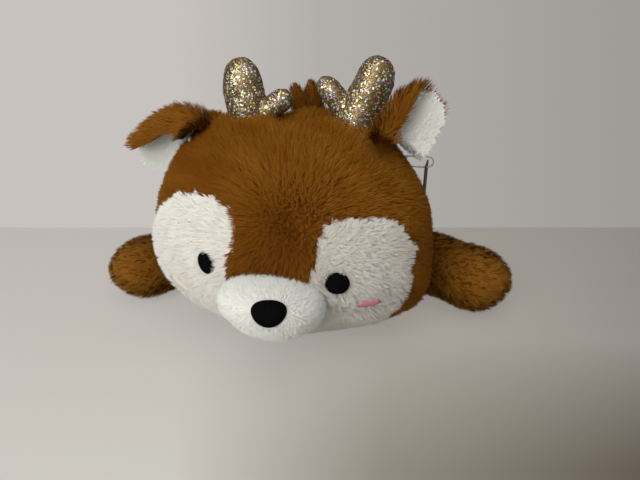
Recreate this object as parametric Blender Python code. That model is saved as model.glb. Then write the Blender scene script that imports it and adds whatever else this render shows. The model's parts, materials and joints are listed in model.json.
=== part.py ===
# Plush deer lying on its belly: sewn panels over stuffing, with legs, ears, tail and tag that turn

import bpy
import bmesh
from math import copysign, cos, pi, radians, sin, tan
from mathutils import Matrix, Vector

SIDES = dict(left=1, right=-1)

# Fits shared by the whole toy
SEAM_GAP = 0.0004
SKIN = 0.0080
REST_FLAT = 0.0005
OVERRUN = 0.0100

# Head, leaning so that the brow lies back and the chin comes forward
HEAD_WIDTH = 0.2360
HEAD_DEPTH = 0.1840
HEAD_HEIGHT = 0.1830
HEAD_LEAN_SHARE = 0.14
HEAD_POWER = 2.3
HEAD_STEPS = 6
CLOSING_STEPS = 40
HEAD_SIDE_SHIFT = -0.0045
HEAD_TURN = radians(-3.5)
HEAD_ROLL = radians(4.5)
BACK_SEAM_Y = 0.0400
CHIN_SEAM_DROP = 0.0480

# Cheeks: round white panels beside the brow
CHEEK_RADIUS = 0.0415
CHEEK_OUT = dict(left=0.0350, right=0.0390)
CHEEK_DROP = dict(left=0.0020, right=0.0030)
CHEEK_TURN = radians(22)
CHEEK_SHARES = dict(left=(1.00, 0.99, 0.93, 0.89, 1.01, 1.08, 1.00, 1.02, 0.98, 0.91, 0.93, 0.96),
                    right=(1.00, 1.02, 1.02, 1.00, 1.08, 1.12, 1.00, 1.05, 1.06, 1.00, 1.00, 0.97))
CHEEK_POINTS = 20

# Muzzle, nose, eyes and blush
MUZZLE_WIDTH = 0.0810
MUZZLE_DEPTH = 0.0620
MUZZLE_HEIGHT = 0.0450
MUZZLE_AHEAD = 0.0030
MUZZLE_FORWARD = HEAD_DEPTH / 2 + MUZZLE_AHEAD
MUZZLE_DROP = 0.0235
MUZZLE_STEPS = 4
NOSE_WIDTH = 0.0250
NOSE_HEIGHT = 0.0190
NOSE_DEPTH = 0.0120
NOSE_SINK = 0.0015
NOSE_RISE = 0.0085
NOSE_ASIDE = 0.0030
NOSE_TAPER_SHARE = 0.22
EYE_WIDTH = 0.0210
EYE_HEIGHT = 0.0175
EYE_DEPTH = 0.0100
EYE_SINK = 0.0025
EYE_APART = 0.0990
EYE_DROP = 0.0035
BLUSH_WIDTH = 0.0290
BLUSH_HEIGHT = 0.0095
BLUSH_DEPTH = 0.0050
BLUSH_SINK = 0.0018
BLUSH_APART = 0.1380
BLUSH_DROP = 0.0225
TRIM_STEPS = 3

# Ears: leaves folded over a ridge, on a root hem that turns in a groove of the crown
EAR_LENGTH = 0.0510
EAR_HALF_WIDTH = 0.0350
EAR_WIDTH_SHARES = (0.49, 0.92, 1.00, 1.00, 0.93, 0.76, 0.34)
EAR_ACROSS_STEPS = 10
STEP_SHARE = 0.01
EAR_OUTER_LAYER = 0.0045
EAR_INNER_LAYER = 0.0036
EAR_RIDGE_RADIUS = 0.0090
EAR_RIDGE_ASIDE = dict(left=0.0150, right=0.0100)
EAR_FRONT_FLAP = dict(left=radians(80), right=radians(72))
EAR_REAR_FLAP = dict(left=radians(74), right=radians(66))
EAR_FOLD_SHARES = dict(left=0.22, right=0.50)
EAR_HEM_RADIUS = 0.0070
EAR_HEM_SIDES = 12
EAR_OUT = dict(left=0.0575, right=0.0765)
EAR_BACK = dict(left=-0.0130, right=0.0040)
EAR_HEM_LIFT = 0.0045
EAR_RAISE = dict(left=radians(61), right=radians(20))
EAR_DROOP = dict(left=0.0120, right=0.0380)

# Antlers: stuffed fabric tines, front and back pieces sewn at the edge
ANTLER_FABRIC = 0.0016
ANTLER_OUT = dict(left=0.0380, right=0.0455)
ANTLER_BACK = 0.0080
ANTLER_SINK = dict(left=0.0115, right=0.0250)
TINE_LENGTH = 0.0640
TINE_WIDTH = 0.0300
TINE_THICKNESS = 0.0230
BRANCH_LENGTH = 0.0400
BRANCH_WIDTH = 0.0210
BRANCH_THICKNESS = 0.0180
BRANCH_RISE = 0.0140
TINE_LEAN = dict(left=radians(18), right=radians(8))
BRANCH_LEAN = dict(left=radians(-44), right=radians(-60))
TINE_SIDES = 8
TINE_RINGS = 3
TINE_ROOT_SHARE = 0.80

# Body: a loaf behind the head
BODY_WIDTH = 0.1680
BODY_LENGTH = 0.2100
BODY_HEIGHT = 0.1380
BODY_BACK = 0.0920
BODY_POWER = 2.4
BODY_STEPS = 5
BELLY_SEAM_HEIGHT = 0.0360
NECK_BACK = 0.0260

# Legs: each has a ball at its root that turns in a socket of the body
LEG_SIDES = 10
LEG_MOUTH_RADIUS = 0.0100
SOCKET_GAP = 0.0005
SOCKET_STEPS = 3
SOCKET_CORNER_SHARE = 1.35
FRONT_LEG = dict(reach=0.1270, paw=0.0340, ball=0.0240, neck=0.0190, out=0.0840, back=0.0800,
                 turn=radians(-39))
HIND_LEG = dict(reach=0.0880, paw=0.0300, ball=0.0220, neck=0.0175, out=0.0680, back=0.1540,
                turn=radians(44))
NECK_SHARE = 0.76
LEG_SWELL_SHARES = (0.35, 0.75)
BALL_TURNS = (radians(150), radians(115), radians(80))
PAW_TURNS = (0, radians(35), radians(65))

# Tail: an upright tuft on the rump
TAIL_REACH = 0.0700
TAIL_WIDTH = 0.0340
TAIL_THICKNESS = 0.0240
TAIL_BALL = 0.0100
TAIL_NECK = 0.0080
TAIL_SKIN = 0.0040
TAIL_BACK = 0.1500
TAIL_SINK = 0.0020
TAIL_LEAN = radians(-16)
TAIL_PITCH = radians(8)
TAIL_MOUTH_RADIUS = 0.0035
TAIL_SIDES = 10
TAIL_SWELL_SHARES = ((0.30, 0.70), (0.52, 1.00), (0.74, 0.90), (0.91, 0.55))

# Hang tag: a folded card on a plastic loop from the seam behind the left ear
TAG_WIDTH = 0.0280
TAG_LENGTH = 0.0400
TAG_THICKNESS = 0.0016
TAG_HOLE_RADIUS = 0.0026
TAG_HOLE_INSET = 0.0050
TAG_TURN = radians(-8)
TAG_OUT = 0.1085
TAG_BACK = 0.0680
TAG_RISE = 0.0440
LOOP_WIRE = 0.0008
LOOP_HEIGHT = 0.0100
LOOP_REACH = 0.0062
LOOP_SEAT = 0.0050
LOOP_POINTS = 6
HOLE_SIDES = 10

BROWN = (0.39, 0.16, 0.045)
WHITE = (0.83, 0.79, 0.70)
STUFFING = (0.86, 0.86, 0.84)
BLACK = (0.010, 0.010, 0.011)
PINK = (0.75, 0.30, 0.30)
GOLD = (0.52, 0.36, 0.15)
CARD = (0.20, 0.17, 0.14)
CLEAR = (0.80, 0.80, 0.80)

materials = {}


def material(name, colour, roughness, metallic=0):
    if name not in materials:
        made = bpy.data.materials.new(name)
        made.use_nodes = True
        shader = made.node_tree.nodes["Principled BSDF"]
        shader.inputs["Base Color"].default_value = (*colour, 1)
        shader.inputs["Roughness"].default_value = roughness
        shader.inputs["Metallic"].default_value = metallic
        made.diffuse_color = (*colour, 1)
        materials[name] = made
    return materials[name]


def finish_mesh(name, bm, parent, look=None):
    """Close up a bmesh as an object; without a look it is a cutter that the model leaves out."""
    bmesh.ops.recalc_face_normals(bm, faces=bm.faces)
    mesh = bpy.data.meshes.new(name)
    bm.to_mesh(mesh)
    bm.free()
    mesh.shade_smooth()
    mesh.set_sharp_from_angle(angle=radians(40))
    made = bpy.data.objects.new(name, mesh)
    bpy.context.collection.objects.link(made)
    made.parent = parent
    if look:
        mesh.materials.append(material(*look))
    else:
        made.hide_render = True
        made.display_type = "WIRE"
    return made


def empty(name, parent=None, location=(0, 0, 0), rotation=(0, 0, 0)):
    made = bpy.data.objects.new(name, None)
    bpy.context.collection.objects.link(made)
    made.parent = parent
    made.location = location
    made.rotation_euler = rotation
    return made


def boolean(target, tool, operation="DIFFERENCE"):
    step = target.modifiers.new(tool.name, "BOOLEAN")
    step.operation = operation
    step.solver = "EXACT"
    step.object = tool


def power_ball(radii, power, steps, lean=0, taper=0):
    """A cube's grid blown up to a ball whose sections lie between an ellipse and a box."""
    bm = bmesh.new()
    bmesh.ops.create_cube(bm, size=2)
    bmesh.ops.subdivide_edges(bm, edges=bm.edges, cuts=steps - 1, use_grid_fill=True)
    for vert in bm.verts:
        way = Vector([tan(value * pi / 4) for value in vert.co])
        reach = sum(abs(way[axis] / radii[axis]) ** power for axis in range(3)) ** (-1 / power)
        place = way * reach
        place.x *= 1 + taper * place.z / radii[2]
        place.y += lean * place.z
        vert.co = place
    bmesh.ops.triangulate(bm, faces=bm.faces, quad_method="FIXED")
    return bm


def box(name, parent, low, high, look=None):
    bm = bmesh.new()
    bmesh.ops.create_cube(bm, size=1)
    for vert in bm.verts:
        vert.co = [low[axis] + (vert.co[axis] + 0.5) * (high[axis] - low[axis]) for axis in range(3)]
    return finish_mesh(name, bm, parent, look)


def turned(profile, sides, flat_share=1):
    """Turn a profile of (along, radius) about X; a radius of zero is a pole, a profile with none a ring."""
    bm = bmesh.new()
    rings = []
    for along, radius in profile:
        if radius == 0:
            rings.append([bm.verts.new((along, 0, 0))])
            continue
        turns = [2 * pi * step / sides for step in range(sides)]
        rings.append([bm.verts.new((along, radius * cos(a), radius * flat_share * sin(a))) for a in turns])
    pairs = list(zip(rings, rings[1:]))
    if profile[0][1] > 0:
        pairs.append((rings[-1], rings[0]))
    for near, far in pairs:
        for step in range(sides):
            following = (step + 1) % sides
            corners = [near[step % len(near)], near[following % len(near)],
                       far[following % len(far)], far[step % len(far)]]
            bm.faces.new(list(dict.fromkeys(corners)))
    return bm


def grown(size, growth):
    """The three half sizes of a form, with the growth added all round."""
    return [value / 2 + growth for value in size]


# Shapes of the head, used by its panels, its trim and what is sewn to it
HEAD_SIZE = (HEAD_WIDTH, HEAD_DEPTH, HEAD_HEIGHT)
MUZZLE_SIZE = (MUZZLE_WIDTH, MUZZLE_DEPTH, MUZZLE_HEIGHT)


def head_ball(growth):
    return power_ball(grown(HEAD_SIZE, growth), HEAD_POWER, HEAD_STEPS, HEAD_LEAN_SHARE)


def muzzle_ball(growth):
    bm = power_ball(grown(MUZZLE_SIZE, growth), HEAD_POWER, MUZZLE_STEPS)
    bmesh.ops.translate(bm, verts=bm.verts, vec=(0, -MUZZLE_FORWARD, -MUZZLE_DROP))
    return bm


def head_front(x, z):
    """The point of the head's front surface at x and z, with its outward direction."""
    half = grown(HEAD_SIZE, 0)
    left = 1 - abs(x / half[0]) ** HEAD_POWER - abs(z / half[2]) ** HEAD_POWER
    upright = -half[1] * left ** (1 / HEAD_POWER)
    return Vector((x, upright + HEAD_LEAN_SHARE * z, z)), head_normal(x, upright, z)


def head_top(x, y):
    """The point of the head's upper surface over x and y, found by closing in on its height."""
    half = grown(HEAD_SIZE, 0)
    z = half[2]
    for _ in range(CLOSING_STEPS):
        upright = y - HEAD_LEAN_SHARE * z
        left = 1 - abs(x / half[0]) ** HEAD_POWER - abs(upright / half[1]) ** HEAD_POWER
        z = (z + half[2] * left ** (1 / HEAD_POWER)) / 2
    return Vector((x, y, z)), head_normal(x, y - HEAD_LEAN_SHARE * z, z)


def head_side(y, z):
    """The head's half width at y and z."""
    half = grown(HEAD_SIZE, 0)
    left = 1 - abs((y - HEAD_LEAN_SHARE * z) / half[1]) ** HEAD_POWER - abs(z / half[2]) ** HEAD_POWER
    return half[0] * left ** (1 / HEAD_POWER)


def head_normal(x, upright, z):
    half = grown(HEAD_SIZE, 0)
    slope = [abs(value / size) ** (HEAD_POWER - 1) / size * (1 if value > 0 else -1)
             for value, size in zip((x, upright, z), half)]
    return Vector((slope[0], slope[1], slope[2] - HEAD_LEAN_SHARE * slope[1])).normalized()


def muzzle_front(x, rise):
    """The point of the muzzle's front at x and at a rise over its centre, with its outward direction."""
    half = grown(MUZZLE_SIZE, 0)
    left = 1 - abs(x / half[0]) ** HEAD_POWER - abs(rise / half[2]) ** HEAD_POWER
    forward = half[1] * left ** (1 / HEAD_POWER)
    slope = [abs(value / size) ** (HEAD_POWER - 1) / size * (1 if value > 0 else -1)
             for value, size in zip((x, -forward, rise), half)]
    return Vector((x, -MUZZLE_FORWARD - forward, rise - MUZZLE_DROP)), Vector(slope).normalized()


def cheek_prism(name, frame, word, growth):
    """A prism of the cheek's outline that runs through the front of the head's skin."""
    bm = bmesh.new()
    side = SIDES[word]
    shares = CHEEK_SHARES[word]
    count = len(shares)
    outline = []
    for step in range(CHEEK_POINTS):
        place = step * count / CHEEK_POINTS
        low = int(place)
        blend = (1 - cos(pi * (place - low))) / 2
        share = shares[low] * (1 - blend) + shares[(low + 1) % count] * blend
        reach = CHEEK_RADIUS * share + growth
        angle = 2 * pi * step / CHEEK_POINTS
        outline.append((CHEEK_OUT[word] + reach * cos(angle), reach * sin(angle) - CHEEK_DROP[word]))
    along = Vector((side * cos(CHEEK_TURN), sin(CHEEK_TURN), 0))
    forward = Vector((side * sin(CHEEK_TURN), -cos(CHEEK_TURN), 0))
    near = HEAD_DEPTH / 2 + OVERRUN + OVERRUN
    far = HEAD_DEPTH / 4
    rows = []
    for depth in (near, far):
        rows.append([bm.verts.new(along * u + forward * depth + Vector((0, 0, z))) for u, z in outline])
    bm.faces.new(rows[0])
    bm.faces.new(rows[1][::-1])
    for step in range(CHEEK_POINTS):
        following = (step + 1) % CHEEK_POINTS
        bm.faces.new((rows[0][step], rows[0][following], rows[1][following], rows[1][step]))
    return finish_mesh(name, bm, frame)


def trim(name, frame, size, place, outward, sink, look, growth, power=2, taper=0):
    """A small padded piece sunk in the skin, its depth along the outward direction."""
    bm = power_ball(grown(size, growth), power, TRIM_STEPS, taper=taper)
    made = finish_mesh(name, bm, frame, look)
    sideways = Vector((0, 0, 1)).cross(-outward).normalized()
    upward = (-outward).cross(sideways)
    turn = Matrix((sideways, -outward, upward)).transposed()
    made.matrix_local = Matrix.Translation(place - outward * sink) @ turn.to_4x4()
    return made


def make_head(frame, ground, grooves):
    whole = HEAD_WIDTH
    back = HEAD_DEPTH / 2 + BACK_SEAM_Y
    gap = SEAM_GAP
    inner = finish_mesh("head_lining_cutter", head_ball(-SKIN), frame)
    muzzle_space = finish_mesh("muzzle_cutter", muzzle_ball(gap), frame)
    ahead = box("head_crown_room", frame, (-whole, -whole, -CHIN_SEAM_DROP),
                (whole, BACK_SEAM_Y - gap / 2, whole))
    behind = box("head_back_room", frame, (-whole, BACK_SEAM_Y + gap / 2, -CHIN_SEAM_DROP), (whole, back, whole))
    below = box("head_chin_room", frame, (-whole, -whole, -whole), (whole, whole, -CHIN_SEAM_DROP - gap))
    cheek_cutters = [cheek_prism("cheek_cutter", frame, word, gap) for word in SIDES]

    fur = ("brown_plush", BROWN, 0.95)
    crown = finish_mesh("head_crown_panel", head_ball(0), frame, fur)
    rear = finish_mesh("head_back_panel", head_ball(0), frame, fur)
    chin = finish_mesh("head_chin_panel", head_ball(0), frame, fur)
    for tool in (*cheek_cutters, muzzle_space, inner, *grooves):
        boolean(crown, tool)
    boolean(crown, ahead, "INTERSECT")
    for tool in (muzzle_space, inner, ground):
        boolean(chin, tool)
    boolean(chin, below, "INTERSECT")
    boolean(rear, behind, "INTERSECT")
    boolean(rear, inner)

    white = ("white_plush", WHITE, 0.95)
    cheeks = {}
    for word, side in SIDES.items():
        cheek = finish_mesh("cheek_panel_" + word, head_ball(0), frame, white)
        boolean(cheek, cheek_prism("cheek_shape_" + word, frame, word, 0), "INTERSECT")
        boolean(cheek, inner)
        boolean(cheek, muzzle_space)
        cheeks[side] = cheek
        eye_at, eye_out = head_front(side * EYE_APART / 2, -EYE_DROP)
        blush_at, blush_out = head_front(side * BLUSH_APART / 2, -BLUSH_DROP)
        sizes = ((EYE_WIDTH, EYE_DEPTH, EYE_HEIGHT), (BLUSH_WIDTH, BLUSH_DEPTH, BLUSH_HEIGHT))
        looks = (("black_velvet", BLACK, 0.8), ("pink_velvet", PINK, 0.9))
        for kind, size, place, outward, sink, look in (
                ("eye_", sizes[0], eye_at, eye_out, EYE_SINK, looks[0]),
                ("blush_", sizes[1], blush_at, blush_out, BLUSH_SINK, looks[1])):
            trim(kind + word, frame, size, place, outward, sink, look, 0)
            boolean(cheek, trim(kind + "cutter", frame, size, place, outward, sink, None, gap))

    muzzle = finish_mesh("muzzle_panel", muzzle_ball(0), frame, white)
    boolean(muzzle, finish_mesh("muzzle_lining_cutter", muzzle_ball(-SKIN), frame))
    boolean(muzzle, inner)
    padding = ("white_stuffing", STUFFING, 1)
    muzzle_core = finish_mesh("muzzle_stuffing", muzzle_ball(-SKIN - gap), frame, padding)
    boolean(muzzle_core, inner)
    nose_size = (NOSE_WIDTH, NOSE_DEPTH, NOSE_HEIGHT)
    nose_at, nose_out = muzzle_front(NOSE_ASIDE, NOSE_RISE)
    trim("nose_pad", frame, nose_size, nose_at, nose_out, NOSE_SINK, ("black_velvet", BLACK, 0.8), 0,
         HEAD_POWER, NOSE_TAPER_SHARE)
    boolean(muzzle, trim("nose_cutter", frame, nose_size, nose_at, nose_out, NOSE_SINK, None, gap,
                         HEAD_POWER, NOSE_TAPER_SHARE))
    finish_mesh("head_stuffing", head_ball(-SKIN - gap), frame, padding)
    return rear


def ear_point(share, across, word, offset):
    """A point of the folded leaf: share along it, across from front to back, offset towards its outside."""
    side = SIDES[word]

    def middle(share, across):
        place = share * (len(EAR_WIDTH_SHARES) - 1)
        low = min(int(place), len(EAR_WIDTH_SHARES) - 2)
        blend = place - low
        half = EAR_HALF_WIDTH * (EAR_WIDTH_SHARES[low] * (1 - blend) + EAR_WIDTH_SHARES[low + 1] * blend)
        ease = min(1, max(0, share) / EAR_FOLD_SHARES[word])
        ease = ease * ease * (3 - 2 * ease)
        reach = across * half + EAR_RIDGE_ASIDE[word] * ease
        turn = ease * (EAR_FRONT_FLAP if reach < 0 else EAR_REAR_FLAP)[word]
        angle = min(abs(reach) / EAR_RIDGE_RADIUS, turn)
        flap = abs(reach) - angle * EAR_RIDGE_RADIUS
        y = copysign(EAR_RIDGE_RADIUS * sin(angle) + flap * cos(turn), reach)
        z = -EAR_RIDGE_RADIUS * (1 - cos(angle)) - flap * sin(turn)
        return Vector((EAR_LENGTH * share, side * y, z - EAR_DROOP[word] * share * share))

    here = middle(share, across)
    ahead = middle(share + STEP_SHARE, across) - middle(share - STEP_SHARE, across)
    beside = middle(share, across + STEP_SHARE) - middle(share, across - STEP_SHARE)
    outward = ahead.cross(beside * side).normalized()
    return here + outward * offset


def ear_leaf(word, shares, inside, outside):
    bm = bmesh.new()
    crosses = [2 * step / EAR_ACROSS_STEPS - 1 for step in range(EAR_ACROSS_STEPS + 1)]
    sheets = []
    for offset in (inside, outside):
        sheets.append([[bm.verts.new(ear_point(share, across, word, offset)) for across in crosses]
                       for share in shares])
    rows, columns = len(shares), len(crosses)
    for sheet in sheets:
        for row in range(rows - 1):
            for column in range(columns - 1):
                bm.faces.new((sheet[row][column], sheet[row][column + 1],
                              sheet[row + 1][column + 1], sheet[row + 1][column]))
    rim = [(0, column) for column in range(columns)] + [(row, columns - 1) for row in range(1, rows)]
    rim += [(rows - 1, column) for column in range(columns - 2, -1, -1)]
    rim += [(row, 0) for row in range(rows - 2, 0, -1)]
    for near, far in zip(rim, rim[1:] + rim[:1]):
        bm.faces.new((sheets[0][near[0]][near[1]], sheets[0][far[0]][far[1]],
                      sheets[1][far[0]][far[1]], sheets[1][near[0]][near[1]]))
    bmesh.ops.triangulate(bm, faces=bm.faces, quad_method="FIXED")
    return bm


def ear_hem(radius, half_length):
    bm = turned([(-half_length, 0), (-half_length, radius), (half_length, radius), (half_length, 0)],
                EAR_HEM_SIDES)
    bmesh.ops.rotate(bm, verts=bm.verts, matrix=Matrix.Rotation(pi / 2, 3, "Z"))
    return bm


def make_ear(head, word):
    side = SIDES[word]
    place, outward = head_top(side * EAR_OUT[word], EAR_BACK[word])
    base = place + outward * EAR_HEM_LIFT
    turn = 0 if side > 0 else pi
    frame = empty("ear_hinge_" + word, head, base, (0, -EAR_RAISE[word], turn))
    hem_half = EAR_HALF_WIDTH * EAR_WIDTH_SHARES[0]
    last = len(EAR_WIDTH_SHARES) - 1
    shares = [(EAR_HEM_RADIUS + SEAM_GAP) / EAR_LENGTH] + [step / last for step in range(1, last + 1)]
    outer = finish_mesh("ear_outer_panel_" + word,
                        ear_leaf(word, [0] + shares, SEAM_GAP / 2, EAR_OUTER_LAYER), frame,
                        ("brown_plush", BROWN, 0.95))
    boolean(outer, finish_mesh("ear_hem_shape_" + word, ear_hem(EAR_HEM_RADIUS, hem_half), frame), "UNION")
    finish_mesh("ear_inner_panel_" + word,
                ear_leaf(word, shares, -EAR_INNER_LAYER, -SEAM_GAP / 2), frame, ("white_plush", WHITE, 0.95))
    return finish_mesh("ear_groove_cutter_" + word,
                       ear_hem(EAR_HEM_RADIUS + SEAM_GAP, hem_half + SEAM_GAP), frame)


def tine(length, width, thickness, growth):
    """A blunt stuffed finger along X, fullest past its middle."""
    half = width / 2 + growth
    flat = (thickness / 2 + growth) / half
    full = length - width / 2
    profile = [(-growth, 0), (-growth, half * TINE_ROOT_SHARE)]
    for step in range(1, TINE_RINGS):
        swell = (1 - TINE_ROOT_SHARE) * sin(pi / 2 * step / TINE_RINGS)
        profile.append((full * step / TINE_RINGS, half * (TINE_ROOT_SHARE + swell)))
    for step in range(TINE_RINGS // 2 + 1):
        angle = pi / 2 * step / (TINE_RINGS // 2 + 1)
        profile.append((full + half * sin(angle), half * cos(angle)))
    profile.append((full + half, 0))
    bm = turned(profile, TINE_SIDES, flat)
    bmesh.ops.rotate(bm, verts=bm.verts, matrix=Matrix.Rotation(pi / 2, 3, "X"))
    bmesh.ops.rotate(bm, verts=bm.verts, matrix=Matrix.Rotation(-pi / 2, 3, "Y"))
    return bm


def make_antler(head, word, head_space):
    side = SIDES[word]
    rise = HEAD_HEIGHT / 2 - ANTLER_SINK[word]
    frame = empty("antler_base_" + word, head, (side * ANTLER_OUT[word], ANTLER_BACK, rise))
    shapes = {}
    for kind, growth in (("fabric", 0), ("lining", -ANTLER_FABRIC), ("core", -ANTLER_FABRIC - SEAM_GAP)):
        trunk = tine(TINE_LENGTH, TINE_WIDTH, TINE_THICKNESS, growth)
        bmesh.ops.rotate(trunk, verts=trunk.verts, matrix=Matrix.Rotation(side * TINE_LEAN[word], 3, "Y"))
        branch = tine(BRANCH_LENGTH, BRANCH_WIDTH, BRANCH_THICKNESS, growth)
        bmesh.ops.rotate(branch, verts=branch.verts, matrix=Matrix.Rotation(side * BRANCH_LEAN[word], 3, "Y"))
        bmesh.ops.translate(branch, verts=branch.verts, vec=(0, 0, BRANCH_RISE))
        shapes[kind] = (trunk, branch)
    reach = TINE_LENGTH + BRANCH_LENGTH
    halves = {"front": box("antler_front_room", frame, (-reach, -reach, -reach), (reach, -SEAM_GAP / 2, reach)),
              "back": box("antler_back_room", frame, (-reach, SEAM_GAP / 2, -reach), (reach, reach, reach))}
    lining = [finish_mesh("antler_lining_cutter", bm, frame) for bm in shapes["lining"]]
    fabric_branch = finish_mesh("antler_branch_shape", shapes["fabric"][1], frame)
    trunks = {"front": shapes["fabric"][0], "back": shapes["fabric"][0].copy()}
    for kind, half in halves.items():
        panel = finish_mesh("antler_%s_panel_%s" % (kind, word), trunks[kind], frame,
                            ("gold_glitter_fabric", GOLD, 0.35, 0.6))
        boolean(panel, fabric_branch, "UNION")
        boolean(panel, half, "INTERSECT")
        for tool in (*lining, head_space):
            boolean(panel, tool)
    core = finish_mesh("antler_stuffing_" + word, shapes["core"][0], frame, ("white_stuffing", STUFFING, 1))
    boolean(core, finish_mesh("antler_core_branch_shape", shapes["core"][1], frame), "UNION")
    boolean(core, head_space)


def leg_profile(leg, growth):
    """Half section of a leg: a ball at the root, a neck, and a paw that swells to its end."""
    ball = leg["ball"] + growth
    neck = leg["neck"] + growth
    paw = leg["paw"] + growth
    neck_at = leg["ball"] * NECK_SHARE
    full_at = leg["reach"] - leg["paw"]
    profile = [(ball * cos(angle), ball * sin(angle)) for angle in BALL_TURNS]
    profile.append((neck_at, neck))
    for share in LEG_SWELL_SHARES:
        ease = share * share * (3 - 2 * share)
        profile.append((neck_at + (full_at - neck_at) * share, neck + (paw - neck) * ease))
    for angle in PAW_TURNS:
        profile.append((full_at + paw * sin(angle), paw * cos(angle)))
    profile.append((full_at + paw, 0))
    return profile


def cup(outside, inside, mouth, sides, flat_share):
    """A skin open at its root: an outer and an inner turned surface joined round the mouth."""
    bm = bmesh.new()
    walls = []
    for profile in (outside, inside):
        first = profile[0]
        rings = []
        for along, radius in [(first[0], mouth)] + [pair for pair in profile if pair[1] > 0]:
            turns = [2 * pi * step / sides for step in range(sides)]
            rings.append([bm.verts.new((along, radius * cos(a), radius * flat_share * sin(a))) for a in turns])
        pole = bm.verts.new((profile[-1][0], 0, 0))
        for near, far in zip(rings, rings[1:]):
            for step in range(sides):
                following = (step + 1) % sides
                bm.faces.new((near[step], near[following], far[following], far[step]))
        for step in range(sides):
            bm.faces.new((rings[-1][step], rings[-1][(step + 1) % sides], pole))
        walls.append(rings[0])
    for step in range(sides):
        following = (step + 1) % sides
        bm.faces.new((walls[0][step], walls[0][following], walls[1][following], walls[1][step]))
    return bm


def solid(profile, sides, flat_share):
    return turned([(profile[0][0], 0)] + profile, sides, flat_share)


def socket_cutter(name, frame, ball):
    """A faceted ball whose flats stay clear of the round ball that turns in it."""
    spread = 1 / cos(pi / 4 / SOCKET_STEPS * SOCKET_CORNER_SHARE)
    return finish_mesh(name, power_ball([(ball + SOCKET_GAP) * spread] * 3, 2, SOCKET_STEPS), frame)


def make_leg(body, leg, side, word, ground):
    height = leg["paw"] - REST_FLAT
    turn = leg["turn"] if side > 0 else pi - leg["turn"]
    frame = empty(word + "_hinge", body, (side * leg["out"], leg["back"], height), (0, 0, turn))
    skin = finish_mesh(word + "_skin", cup(leg_profile(leg, 0), leg_profile(leg, -SKIN), LEG_MOUTH_RADIUS,
                                           LEG_SIDES, 1), frame, ("brown_plush", BROWN, 0.95))
    boolean(skin, ground)
    finish_mesh(word + "_stuffing", solid(leg_profile(leg, -SKIN - SEAM_GAP), LEG_SIDES, 1), frame,
                ("white_stuffing", STUFFING, 1))
    return socket_cutter(word + "_socket_cutter", frame, leg["ball"])


def body_ball(growth):
    return power_ball(grown((BODY_WIDTH, BODY_LENGTH, BODY_HEIGHT), growth), BODY_POWER, BODY_STEPS)


def body_top(y):
    """The height of the body's upper surface over its middle line, from the body's centre."""
    half = grown((BODY_WIDTH, BODY_LENGTH, BODY_HEIGHT), 0)
    return half[2] * (1 - abs(y / half[1]) ** BODY_POWER) ** (1 / BODY_POWER)


def make_body(frame, head_space, ground, sockets, tail_socket):
    centre_height = BODY_HEIGHT / 2 - REST_FLAT
    centre = empty("body_centre", frame, (0, BODY_BACK, centre_height))
    whole = BODY_LENGTH
    seam = BELLY_SEAM_HEIGHT - centre_height
    gap = SEAM_GAP
    inner = finish_mesh("body_lining_cutter", body_ball(-SKIN), centre)
    neck = NECK_BACK - BODY_BACK
    below = box("belly_room", centre, (-whole, neck, -whole), (whole, whole, seam - gap))
    fur = ("brown_plush", BROWN, 0.95)
    for word, side in SIDES.items():
        panel = finish_mesh("back_panel_" + word, body_ball(0), centre, fur)
        for tool in (*sockets[side], tail_socket, head_space, inner):
            boolean(panel, tool)
        low, high = sorted((side * gap / 2, side * whole))
        boolean(panel, box("back_room_" + word, centre, (low, neck, seam), (high, whole, whole)), "INTERSECT")
    belly = finish_mesh("belly_panel", body_ball(0), centre, fur)
    for tool in (*sockets[1], *sockets[-1], head_space, inner, ground):
        boolean(belly, tool)
    boolean(belly, below, "INTERSECT")
    core = finish_mesh("body_stuffing", body_ball(-SKIN - gap), centre, ("white_stuffing", STUFFING, 1))
    for tool in (*sockets[1], *sockets[-1], tail_socket, head_space):
        boolean(core, tool)
    boolean(core, box("body_room", centre, (-whole, neck, -whole), (whole, whole, whole)), "INTERSECT")


def tail_profile(growth):
    ball = TAIL_BALL + growth
    wide = TAIL_WIDTH / 2 + growth
    end = TAIL_REACH + growth
    profile = [(ball * cos(angle), ball * sin(angle)) for angle in BALL_TURNS]
    profile.append((TAIL_BALL * NECK_SHARE, TAIL_NECK + growth))
    for along_share, wide_share in TAIL_SWELL_SHARES:
        profile.append((end * along_share, wide * wide_share))
    profile.append((end, 0))
    return profile


def make_tail(body):
    centre_height = BODY_HEIGHT / 2 - REST_FLAT
    height = centre_height + body_top(TAIL_BACK - BODY_BACK) - TAIL_SINK
    frame = empty("tail_hinge", body, (0, TAIL_BACK, height), (TAIL_PITCH, TAIL_LEAN, 0))
    flat = TAIL_THICKNESS / TAIL_WIDTH
    skin = cup(tail_profile(0), tail_profile(-TAIL_SKIN), TAIL_MOUTH_RADIUS, TAIL_SIDES, flat)
    core = solid(tail_profile(-TAIL_SKIN - SEAM_GAP), TAIL_SIDES, flat)
    for bm in (skin, core):
        bmesh.ops.rotate(bm, verts=bm.verts, matrix=Matrix.Rotation(pi / 2, 3, "X"))
        bmesh.ops.rotate(bm, verts=bm.verts, matrix=Matrix.Rotation(-pi / 2, 3, "Y"))
    finish_mesh("tail_skin", skin, frame, ("brown_plush", BROWN, 0.95))
    finish_mesh("tail_stuffing", core, frame, ("white_stuffing", STUFFING, 1))
    return socket_cutter("tail_socket_cutter", frame, TAIL_BALL)


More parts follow.
